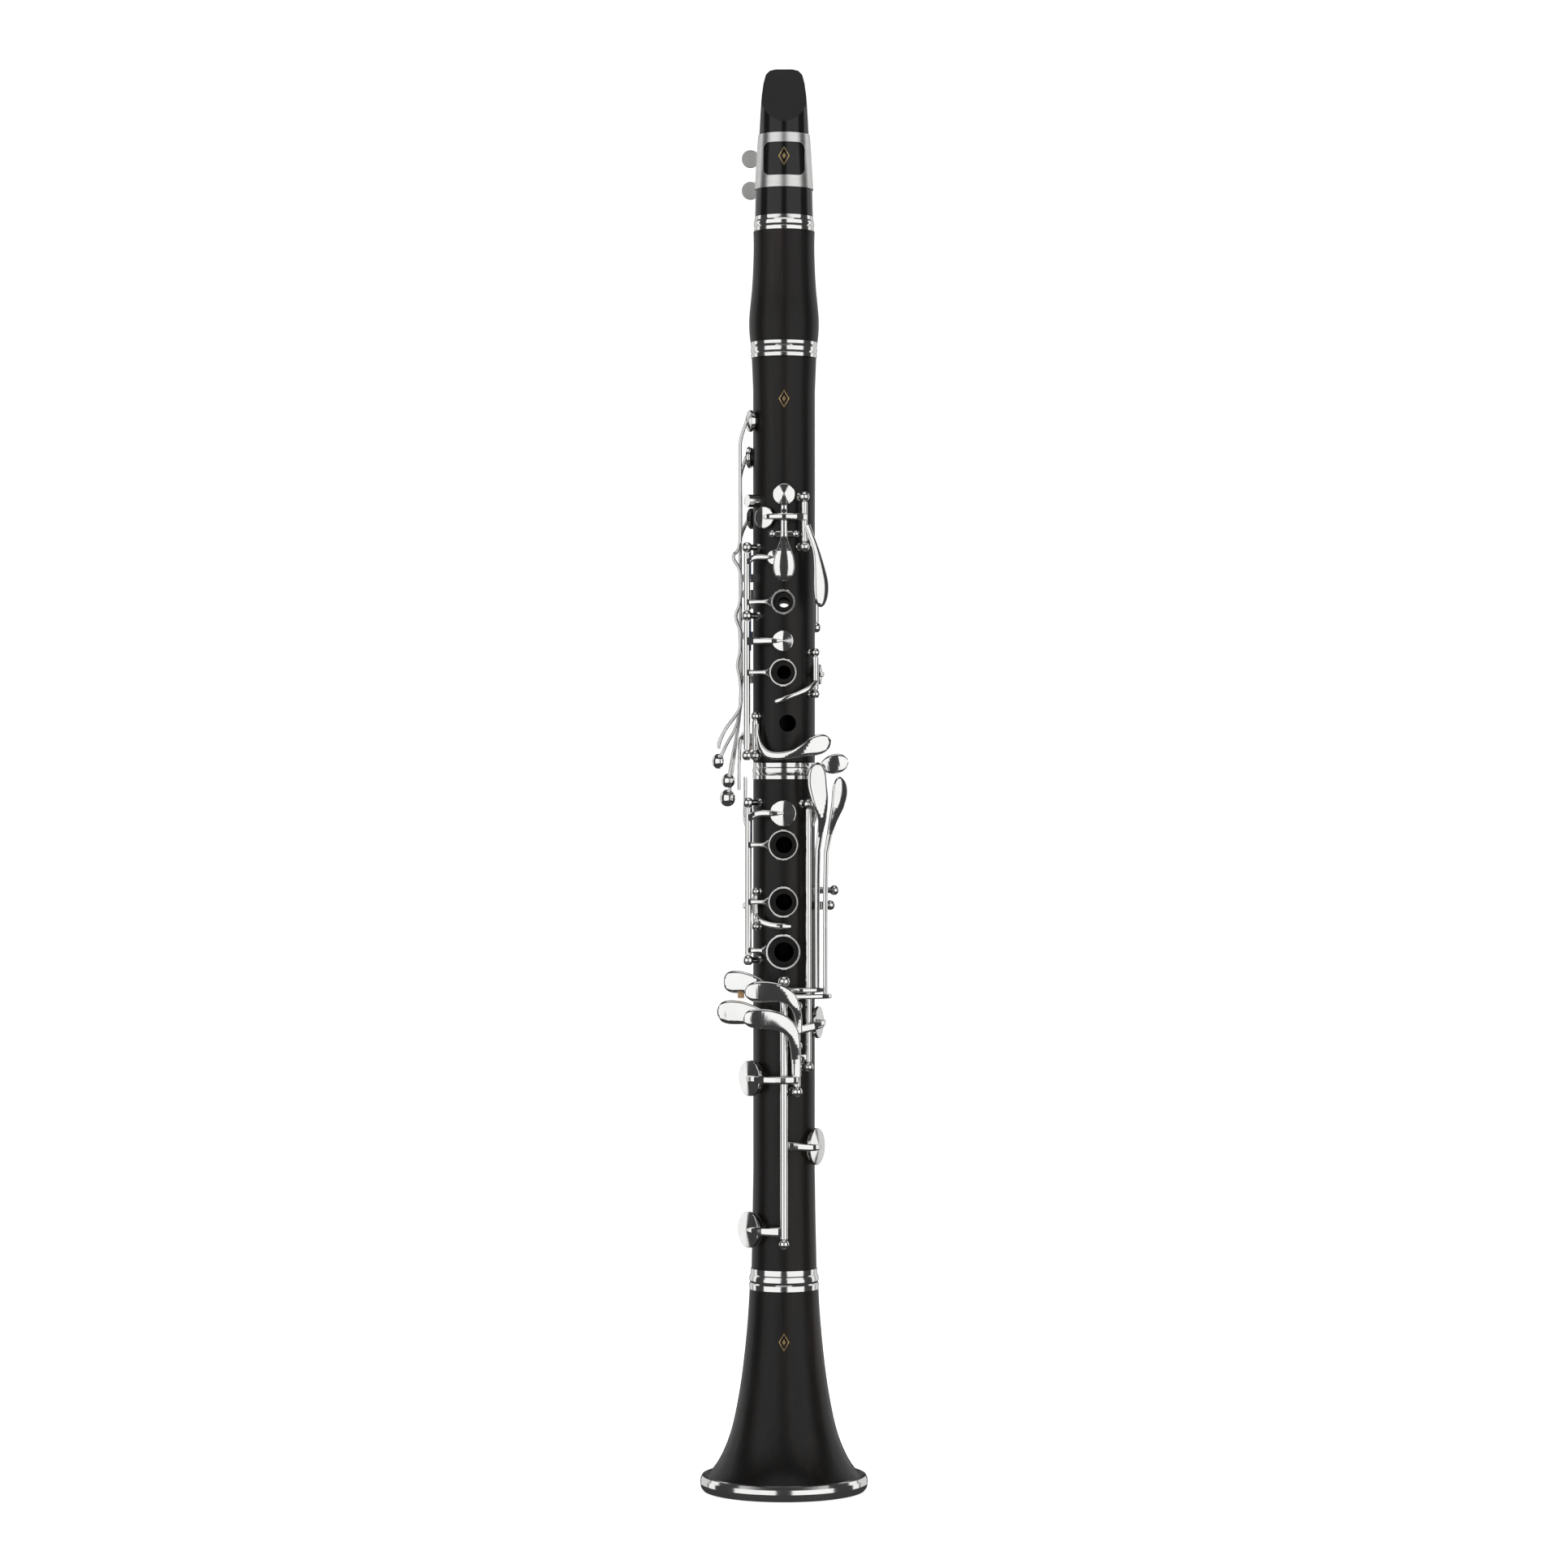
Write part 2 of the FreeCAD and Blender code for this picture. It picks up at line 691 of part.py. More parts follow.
def thumb_ring_key():
    """The ring round the thumb tube at the back, with its vent pad."""
    line = THUMB_ROD
    high = THUMB_POSTS[0] - BALL
    low = THUMB_POSTS[1] + BALL
    z, _, inner, outer, _ = THUMB_RING
    level = CHIMNEY_HEIGHT - RING_THICKNESS / 2
    edge = (inner + outer) / 2
    end_angle = 180 - math.degrees(math.atan2(edge, level))
    size, *place = PADS["thumb_ring_key"]
    link = arm(
        [
            (line[0] + 0.2, line[1] + 4.5, z, 3.6, BAR_THICKNESS),
            (18.0, line[1] + 16, z, 2.8, 1.5),
            (math.hypot(edge, level), end_angle, z, 3.0, 1.2),
        ]
    )
    shapes = [
        key_tube(line, low, high),
        finger_ring(inner, outer, z, 180.0),
        link,
        pad_arm(line, place[1], place[0], width=2.6),
        cup(size, *place),
    ]
    return bored(shapes, line, low, high), pad(size, *place)


def c_sharp_key():
    """The C-sharp and G-sharp key: its hooked arm crosses the front to a teardrop touch."""
    line = C_SHARP_ROD
    high = C_SHARP_POSTS[0] - 2.0
    low = C_SHARP_POSTS[1] + BALL
    size, *place = PADS["c_sharp_key"]
    touch = shaped(
        [
            (-12.5, 10.6, 351.0, -48, 2.8, 1.6),
            (-12.2, 12.0, 346.0, -46, 3.2, 1.7),
            (-10.6, 14.2, 340.6, -36, 3.4, 1.8),
            (-7.2, 16.6, 337.4, -22, 3.4, 1.8),
            (-2.4, 18.1, 336.6, -8, 3.4, 1.8),
            (3.4, 18.8, 337.4, 6, 3.8, 1.9),
            (8.8, 18.8, 339.2, 16, 6.0, 2.3),
            (13.6, 18.0, 341.0, 24, 8.8, 2.8),
            (17.4, 16.8, 342.3, 30, 8.6, 2.8),
            (20.0, 15.8, 343.2, 34, 5.8, 2.1),
            (21.3, 15.2, 343.7, 36, 1.6, 0.9),
        ]
    )
    shapes = [key_tube(line, low, high), touch, pad_arm(line, place[1], place[0]), cup(size, *place)]
    return bored(shapes, line, low, high), pad(size, *place)


def e_flat_key():
    """The sliver key beside the second ring."""
    line = E_FLAT_ROD
    high = E_FLAT_POSTS[0] - 2.0
    low = E_FLAT_POSTS[1] + 2.0
    size, *place = PADS["e_flat_key"]
    sliver = arm(
        [
            (line[0] + 0.8, line[1] - 2, 370.2, 2.8, BAR_THICKNESS),
            (18.5, 42, 368.0, 2.4, BAR_THICKNESS),
            (18.3, 31, 366.4, 2.2, 1.8),
            (18.0, 13, 364.1, 2.0, 1.8),
            (17.8, 0, 362.6, 2.2, 1.8),
            (17.6, -10, 361.5, 2.2, 1.6),
            (17.5, -14, 361.1, 1.0, 0.8),
        ]
    )
    reach = pad_arm(line, place[1], place[0], width=2.6)
    shapes = [key_tube(line, low, high), sliver, reach, cup(size, *place)]
    return bored(shapes, line, low, high), pad(size, *place)


def lower_ring_key():
    """The three right-hand rings, their pad and the lever to the upper joint."""
    line = LOWER_STACK
    high = LOWER_STACK_POSTS[0] - BALL
    low = LOWER_STACK_POSTS[1] + BALL
    size, *place = PADS["lower_ring_key"]
    shapes = [key_tube(line, low, high), pad_arm(line, place[1], place[0], start_z=308.5), cup(size, *place)]
    for z, _, inner, outer, _ in RIGHT_RINGS:
        shapes.append(finger_ring(inner, outer, z))
        shapes.append(ring_arm(line, z + (0.6 if z < low + 3 else 0), outer, inner))
    shapes.append(bridge_lever(line, high - 3, 327.0, -1.3))
    return bored(shapes, line, low, high), pad(size, *place)


def b_key():
    """The sliver key between the second and third right-hand rings."""
    line = B_ROD
    high = B_POSTS[0] - 2.0
    low = B_POSTS[1] + 2.0
    size, *place = PADS["b_key"]
    sliver = arm(
        [
            (line[0] + 0.9, line[1] + 3, 263.6, 3.2, BAR_THICKNESS),
            (18.0, -38, 261.4, 2.8, 1.7),
            (17.8, -20, 259.6, 2.6, 1.8),
            (17.5, -2, 259.0, 2.6, 1.8),
            (17.3, 10, 258.9, 1.6, 1.0),
        ]
    )
    shapes = [key_tube(line, low, high), sliver, pad_arm(line, place[1], place[0]), cup(size, *place)]
    return bored(shapes, line, low, high), pad(size, *place)


def finger_lever(name, place, touch):
    """A lever of the left little finger: touch above its cross pin, working end below."""
    angle, level, pin, z = place
    rows = [
        (0, level, LEVER_END[name], 2.6, BAR_THICKNESS),
        (0, level, z, 3.0, BAR_THICKNESS),
        (0, level + 0.5, touch[0][2] + 1.5, touch[0][4], touch[0][5]),
    ]
    solid = spun(fuse([flat_bar(rows), seesaw_lug(0, pin, z, level)]), angle).fuse(shaped(touch))
    return solid.cut(spun(seesaw_hole(0, pin, z), angle)), None


def f_sharp_lever():
    """The inner of the two little-finger levers."""
    return finger_lever(
        "f_sharp_lever",
        F_SHARP_LEVER,
        [
            (15.4, 13.4, 293.0, 49, 3.2, BAR_THICKNESS),
            (16.6, 15.2, 302.0, 44, 3.4, 1.8),
            (17.4, 18.0, 309.0, 34, 5.0, 2.2),
            (16.5, 19.5, 316.0, 25, 8.0, 2.6),
            (15.2, 19.5, 323.0, 20, 9.2, 2.6),
            (15.0, 19.5, 328.5, 20, 8.6, 2.6),
            (15.0, 19.5, 331.8, 20, 5.8, 2.1),
            (15.0, 19.4, 333.6, 20, 1.8, 1.0),
        ],
    )


def e_lever():
    """The outer of the two little-finger levers."""
    return finger_lever(
        "e_lever",
        E_LEVER,
        [
            (19.2, 11.1, 292.0, 60, 3.2, BAR_THICKNESS),
            (20.9, 12.4, 301.0, 52, 3.4, 1.8),
            (22.6, 13.7, 308.0, 42, 5.0, 2.2),
            (24.6, 14.6, 314.5, 37, 7.4, 2.4),
            (25.4, 15.0, 319.6, 35, 8.4, 2.6),
            (25.4, 15.4, 323.4, 34, 7.2, 2.4),
            (25.2, 15.7, 325.8, 34, 4.4, 1.9),
            (25.1, 15.8, 327.0, 34, 1.5, 0.9),
        ],
    )


def f_lever():
    """The long F lever: oval touch at the top, working arm at the bottom."""
    line = LEVER_ROD
    high = LEVER_POSTS[0] - BALL
    low = LEVER_POSTS[1] + BALL
    riser = shaped(
        [
            (12.2, 15.0, 305.0, 42, 3.2, 1.7),
            (14.4, 12.7, 309.5, 50, 3.0, 1.7),
            (16.1, 8.8, 317.5, 62, 3.0, 1.7),
            (16.6, 8.0, 325.0, 62, 3.0, 1.7),
            (16.8, 8.1, 331.6, 62, 2.8, 1.7),
        ]
    )
    neck_line = [Vector(16.2, -7.7, 330.4), Vector(18.8, -11.0, 331.6), Vector(21.6, -14.0, 332.6)]
    neck = bar(neck_line, [Z_AXIS] * 3, [(3.0, 2.4), (2.6, 2.2), (3.0, 2.0)])
    touch = shaped(
        [
            (16.5, 14.8, 331.4, 0, 1.6, 0.9),
            (18.2, 15.0, 331.8, 0, 5.4, 2.0),
            (21.2, 15.1, 332.5, 0, 8.4, 2.6),
            (25.2, 15.0, 333.4, 0, 8.6, 2.7),
            (27.8, 14.7, 333.9, 0, 6.0, 2.1),
            (29.3, 14.5, 334.2, 0, 1.8, 1.0),
        ]
    )
    work = arm(
        [
            (line[0] - 0.2, line[1] - 4, 199.2, 3.2, 1.4),
            (18.2, 27, 199.2, 3.0, 1.4),
            (18.0, 18, 199.2, 2.6, 1.2),
        ]
    )
    return bored([key_tube(line, low, high), riser, neck, touch, work], line, low, high), None


def f_sharp_key():
    """The F-sharp and C-sharp key on the rod under the centre tube."""
    line = UNDER_ROD
    high = CENTRE_POSTS[0] - 2.9
    low = UNDER_POST + 2.0
    size, *place = PADS["f_sharp_key"]
    touch = shaped(
        [
            (-1.2, 17.2, 228.8, -5, 3.4, 1.7),
            (-7.0, 17.7, 230.2, -15, 5.4, 2.1),
            (-13.0, 17.2, 232.0, -25, 8.4, 2.6),
            (-19.0, 15.8, 233.3, -30, 10.0, 3.0),
            (-24.0, 14.4, 233.6, -32, 9.8, 3.0),
            (-26.6, 13.5, 233.6, -34, 6.8, 2.3),
            (-27.5, 13.2, 233.6, -34, 2.0, 1.0),
        ]
    )
    plate = arm(
        [
            (line[0] + 0.2, 4.5, 229.9, 2.2, 1.5),
            (20.6, 20, 229.9, 2.2, 1.5),
            (22.2, 36, 229.9, 2.2, 1.5),
            (22.4, 51, 229.9, 2.0, 1.2),
        ]
    )
    reach = arm(
        [
            (line[0] + 0.1, 4.6, 159.0, 4.0, BAR_THICKNESS),
            (18.6, 26, 158.4, 3.4, BAR_THICKNESS),
            (19.5, 46, 157.9, 3.0, BAR_THICKNESS),
            (SEAT_HEIGHT + CUP_HEIGHT + 0.15, 65, 157.9, 2.4, 1.3),
        ]
    )
    shapes = [key_tube(line, low, high), touch, plate, reach, cup(size, *place)]
    return bored(shapes, line, low, high), pad(size, *place)


def a_flat_key():
    """The A-flat and E-flat key: the inner upper touch."""
    line = SIDE_ROD
    high = SIDE_POSTS[0] - BALL
    low = SIDE_POSTS[1] + BALL
    size, *place = PADS["a_flat_key"]
    touch = shaped(
        [
            (6.6, 22.3, 211.0, 16, 3.4, 2.0),
            (6.4, 23.4, 217.0, 14, 3.6, 2.2),
            (5.2, 25.3, 222.5, 8, 4.4, 2.4),
            (2.4, 26.2, 226.6, 3, 6.4, 2.6),
            (-2.4, 26.5, 229.0, 0, 8.4, 2.7),
            (-8.0, 26.3, 229.6, -4, 9.6, 3.0),
            (-12.6, 26.0, 229.5, -7, 9.4, 3.1),
            (-15.4, 25.7, 229.4, -9, 7.6, 2.7),
            (-17.2, 25.4, 229.3, -10, 4.4, 1.9),
            (-17.9, 25.3, 229.3, -10, 1.4, 0.9),
        ]
    )
    reach = arm(
        [
            (line[0] + 0.9, line[1] + 3, 212.0, 4.0, BAR_THICKNESS),
            (23.0, 36, 213.4, 3.6, BAR_THICKNESS),
            (21.4, 58, 214.6, 3.2, BAR_THICKNESS),
            (SEAT_HEIGHT + CUP_HEIGHT + 0.05, 74, 214.6, 2.6, 1.4),
        ]
    )
    shapes = [key_tube(line, low, high), touch, reach, cup(size, *place)]
    return bored(shapes, line, low, high), pad(size, *place)


def e_key():
    """The long E and B key on the centre rod."""
    line = CENTRE_ROD
    high = CENTRE_POSTS[0] - 2.9
    low = CENTRE_POSTS[1] + BALL
    size, *place = PADS["e_key"]
    touch = shaped(
        [
            (-1.7, 21.4, 216.4, -4, 3.8, 1.9),
            (-6.5, 19.6, 217.4, -22, 5.0, 2.1),
            (-12.5, 16.4, 218.6, -34, 8.0, 2.6),
            (-18.5, 13.3, 219.5, -34, 10.4, 3.0),
            (-24.0, 11.6, 219.8, -30, 10.8, 3.1),
            (-27.6, 10.9, 219.8, -28, 8.2, 2.7),
            (-29.2, 10.5, 219.7, -28, 2.6, 1.2),
        ]
    )
    plate = arm(
        [
            (line[0] + 0.1, 3.6, 227.0, 2.2, 1.5),
            (23.6, 25, 227.0, 2.2, 1.5),
            (26.2, 48, 227.0, 2.2, 1.5),
            (26.5, 58, 227.0, 2.0, 1.2),
        ]
    )
    reach = pad_arm(line, place[1], place[0], width=3.8)
    shapes = [key_tube(line, low, high, 1.8), touch, plate, reach, cup(size, *place)]
    return bored(shapes, line, low, high), pad(size, *place)


def f_key():
    """The F and C key: the inner lower touch."""
    line = SIDE_ROD
    high = SIDE_POSTS[1] - BALL
    low = SIDE_POSTS[2] + BALL
    size, *place = PADS["f_key"]
    touch = shaped(
        [
            (5.4, 22.0, 191.0, 10, 4.4, 2.2),
            (5.1, 23.2, 199.0, 6, 4.6, 2.4),
            (4.4, 24.9, 206.0, 4, 4.9, 2.5),
            (2.8, 25.9, 211.4, 2, 6.0, 2.6),
            (-1.6, 26.2, 215.3, 0, 7.8, 2.7),
            (-7.0, 26.0, 217.0, -4, 9.0, 3.0),
            (-12.5, 25.7, 217.5, -8, 9.0, 3.2),
            (-16.2, 25.3, 217.5, -10, 7.8, 2.9),
            (-18.3, 25.0, 217.4, -12, 5.0, 2.0),
            (-19.1, 24.9, 217.4, -12, 1.6, 0.9),
        ]
    )
    reach = arm(
        [
            (line[0] + 1.1, line[1] - 1, 189.4, 4.0, BAR_THICKNESS),
            (25.4, 4, 189.4, 3.6, BAR_THICKNESS),
            (25.0, -16, 189.4, 3.4, BAR_THICKNESS),
            (21.0, -42, 189.4, 3.2, BAR_THICKNESS),
            (SEAT_HEIGHT + CUP_HEIGHT + 0.05, -60, 189.4, 2.6, 1.4),
        ]
    )
    tab = arm(
        [
            (line[0] - 0.3, line[1] + 4, 198.6, 3.0, 1.3),
            (20.6, 24, 198.6, 2.8, 1.2),
            (20.5, 27, 198.6, 2.2, 1.0),
        ]
    )
    shapes = [key_tube(line, low, high), touch, reach, tab, cup(size, *place)]
    return bored(shapes, line, low, high), pad(size, *place)


KEY_MAKERS = {
    "register_key": register_key,
    "throat_a_key": throat_a_key,
    "throat_g_sharp_key": throat_g_sharp_key,
    "upper_ring_key": upper_ring_key,
    "bridge_ring_key": bridge_ring_key,
    "thumb_ring_key": thumb_ring_key,
    "c_sharp_key": c_sharp_key,
    "e_flat_key": e_flat_key,
    "lower_ring_key": lower_ring_key,
    "b_key": b_key,
    "f_sharp_lever": f_sharp_lever,
    "e_lever": e_lever,
    "f_lever": f_lever,
    "f_sharp_key": f_sharp_key,
    "a_flat_key": a_flat_key,
    "e_key": e_key,
    "f_key": f_key,
}
# Lengthwise hinges: rod line and the sense about Z in which the key is pressed
LONG_HINGES = {
    "throat_g_sharp_key": (THROAT_G_SHARP_ROD, 1, 443.0),
    "upper_ring_key": (UPPER_STACK, 1, 416.0),
    "bridge_ring_key": (UPPER_STACK, 1, 370.0),
    "thumb_ring_key": (THUMB_ROD, 1, 410.0),
    "c_sharp_key": (C_SHARP_ROD, 1, 346.0),
    "e_flat_key": (E_FLAT_ROD, -1, 374.0),
    "lower_ring_key": (LOWER_STACK, 1, 280.0),
    "b_key": (B_ROD, 1, 267.0),
    "f_lever": (LEVER_ROD, 1, 255.0),
    "f_sharp_key": (UNDER_ROD, -1, 190.0),
    "a_flat_key": (SIDE_ROD, -1, 214.0),
    "e_key": (CENTRE_ROD, -1, 170.0),
    "f_key": (SIDE_ROD, -1, 194.0),
}


def hinge(name):
    """A key's hinge: a point, and the direction about which a positive turn presses it."""
    if name in LONG_HINGES:
        line, sense, z = LONG_HINGES[name]
        return at(*line, z), Z_AXIS * sense
    if name == "throat_a_key":
        pin, z = A_KEY_PIVOT
        return Vector(0, -pin, z), Vector(1, 0, 0)
    if name in ("f_sharp_lever", "e_lever"):
        angle, _, pin, z = F_SHARP_LEVER if name == "f_sharp_lever" else E_LEVER
        return at(pin, angle, z), along(angle) * -1
    side, slot, pin, z = SEESAWS[name]
    return at(pin, side, z) + along(side) * slot, along(side)


def mouthpiece_outline(offset=0.0):
    """The round outside of the mouthpiece as (radius, z) points, closed on the axis."""
    rows = ((13.3, 584.0), (13.0, 596.0), (11.4, 621.5), (11.3, 634.0), (11.3, TIP))
    return [(0, 584.0)] + [(r + offset, z) for r, z in rows] + [(0, TIP)]


REED_TABLE = 9.2
REED_HALF_WIDTH = 6.4
LIGATURE_SCREWS = {"ligature_screw_upper": 613.1, "ligature_screw_lower": 598.4}


def mouthpiece_parts():
    """The mouthpiece, its cork, the reed, the ligature and its two screws."""
    round_body = turned(mouthpiece_outline())
    sides = [(14.0, 583.0), (14.0, 612.0), (11.45, 621.0)]
    sides += [(10.75, 632.0), (10.2, 640.0), (9.5, 646.0), (8.4, 650.6), (6.6, 652.7), (4.0, TIP)]
    front = [Vector(x, 0, z) for x, z in sides] + [Vector(-x, 0, z) for x, z in sides[::-1]]
    silhouette = Part.Face(Part.makePolygon(front + front[:1])).extrude(Vector(0, 60, 0))
    silhouette.translate(Vector(0, -30, 0))
    round_body = round_body.common(silhouette)
    tenon = Part.makeCylinder(TENON_CORE, TENON_LENGTH + 1, Vector(0, 0, BARREL_TOP - TENON_LENGTH))
    body = round_body.fuse(tenon)
    slope = [(-11.6, 626.3), (8.9, TIP - 0.2), (8.9, TIP + 4), (-20, TIP + 4), (-20, 622.0)]
    beak = Part.Face(Part.makePolygon([Vector(-20, y, z) for y, z in slope + slope[:1]]))
    body = body.cut(beak.extrude(Vector(40, 0, 0)))
    table = Part.makeBox(40, 20, TIP - 586, Vector(-20, REED_TABLE, 588.0))
    body = body.cut(table)
    body = body.cut(Part.makeCylinder(BORE, 50, Vector(0, 0, BARREL_TOP - TENON_LENGTH - 1)))
    chamber = [(-6.4, 612.0), (-5.8, 622.0), (REED_TABLE + 1, 646.0), (REED_TABLE + 1, 622.0), (6.4, 612.0)]
    wedge = Part.Face(Part.makePolygon([Vector(-5.2, y, z) for y, z in chamber + chamber[:1]]))
    body = body.cut(wedge.extrude(Vector(10.4, 0, 0)))
    cork_low = BARREL_TOP - TENON_LENGTH + 1.5
    cork = ring_solid(CORK_RADIUS, TENON_CORE + 0.02, cork_low, BARREL_TOP - 1.5)

    reed_box = Part.makeBox(2 * REED_HALF_WIDTH, 8, 64.6, Vector(-REED_HALF_WIDTH, REED_TABLE + 0.01, 588.4))
    reed = round_body.common(reed_box)
    vamp = [(REED_TABLE + 0.35, TIP), (REED_TABLE + 2.9, 620.0), (30, 620.0), (30, TIP + 3), (9, TIP + 3)]
    scrape = Part.Face(Part.makePolygon([Vector(-20, y, z) for y, z in vamp + vamp[:1]]))
    reed = reed.cut(scrape.extrude(Vector(40, 0, 0)))

    low, high = 596.5, 621.5
    wall = 0.5
    gap = 0.03
    inside = turned(mouthpiece_outline(gap))
    slab = Part.makeCylinder(30, high - low, Vector(0, 0, low))
    band = turned(mouthpiece_outline(gap + wall)).common(slab)
    window = Part.makeBox(18.8, 20, 15.3, Vector(-9.4, -20, 601.8))
    corners = [e for e in window.Edges if abs(e.tangentAt(e.FirstParameter).y) > 0.9]
    window = window.makeFillet(3.0, corners)
    band = band.cut(window)
    band = band.cut(Part.makeBox(6, 20, 40, Vector(-3, 5, 590)))
    clamps = []
    screws = {}
    screw_y = 16.6
    for name, z in LIGATURE_SCREWS.items():
        for side in (-1, 1):
            lug = cylinder(Vector(side * 3.2, screw_y, z), Vector(side * 6.4, screw_y, z), 2.3)
            web = Part.makeBox(3.2, 5.2, 4.4, Vector(3.2 if side > 0 else -6.4, screw_y - 5.2, z - 2.2))
            clamps += [lug, web]
        shaft = cylinder(Vector(-13.0, screw_y, z), Vector(8.4, screw_y, z), 1.2)
        neck = cylinder(Vector(-11.9, screw_y, z), Vector(-9.4, screw_y, z), 2.1)
        head = cylinder(Vector(-15.5, screw_y - 0.8, z), Vector(-15.5, screw_y + 0.8, z), 4.1)
        screws[name] = fuse([shaft, neck, head])
    ligature = fuse([band] + clamps)
    ligature = ligature.cut(inside)
    for z in LIGATURE_SCREWS.values():
        ligature = ligature.cut(cylinder(Vector(-20, screw_y, z), Vector(20, screw_y, z), 1.28))
    nodes = {"mouthpiece": body, "mouthpiece_cork": cork, "reed": reed, "ligature": ligature}
    nodes.update(screws)
    return nodes


def barrel_parts():
    """The barrel and its two rings."""
    mid = BARREL_BOTTOM + 7.2
    top = BARREL_TOP - 6.7
    ring_inner = BARREL_RING_SEAT
    outline = [
        (14.1, top),
        (13.95, 572.0),
        (14.1, 563.0),
        (14.9, 549.0),
        (16.0, 536.0),
        (15.9, 531.0),
        (15.4, mid),
    ]
    body = turned(outline[::-1], smooth=True)
    necks = [
        Part.makeCylinder(ring_inner, mid - BARREL_BOTTOM + 1, Vector(0, 0, BARREL_BOTTOM)),
        Part.makeCylinder(ring_inner, BARREL_TOP - top + 1, Vector(0, 0, top - 1)),
    ]
    body = fuse([body] + necks)
    body = body.cut(Part.makeCylinder(BORE, 80, Vector(0, 0, BARREL_BOTTOM - 5)))
    for low in (BARREL_BOTTOM - 1, BARREL_TOP - SOCKET_DEPTH):
        body = body.cut(Part.makeCylinder(SOCKET_RADIUS, SOCKET_DEPTH + 1, Vector(0, 0, low)))
    groove = ring_inner + 0.01
    upper = turned(
        [
            (groove, top + 0.01),
            (13.6, top + 0.01),
            (13.75, top + 1.6),
            (13.45, top + 2.0),
            (13.85, top + 2.7),
            (13.95, top + 3.5),
            (13.85, top + 4.3),
            (13.45, top + 5.0),
            (13.6, top + 5.4),
            (13.4, BARREL_TOP),
            (groove, BARREL_TOP),
        ]
    )
    lower = turned(
        [
            (groove, BARREL_BOTTOM + 0.1),
            (15.0, BARREL_BOTTOM + 0.1),
            (15.2, BARREL_BOTTOM + 1.7),
            (14.85, BARREL_BOTTOM + 2.1),
            (15.15, BARREL_BOTTOM + 2.8),
            (15.3, BARREL_BOTTOM + 3.6),
            (15.2, BARREL_BOTTOM + 4.6),
            (14.9, BARREL_BOTTOM + 5.3),
            (15.2, BARREL_BOTTOM + 5.8),
            (15.3, mid - 0.01),
            (groove, mid - 0.01),
        ]
    )
    return {"barrel": body, "barrel_rings": Part.makeCompound([upper, lower])}


def with_holes(body, rings, low, high):
    """A tube with its chimneys, seats and tone holes between two heights."""
    extras = []
    cutters = []
    for z, wall, _, _, bore in rings:
        extras.append(chimney(wall, 0, z, CHIMNEY_HEIGHT))
        cutters.append(hole(bore, 0, z))
    for size, angle, z in PADS.values():
        if low < z < high:
            seat = size / 2 - SEAT_INSET
            extras.append(chimney(seat, angle, z, SEAT_HEIGHT))
            cutters.append(hole(seat - SEAT_WALL, angle, z))
    return fuse([body] + extras).cut(fuse(cutters))


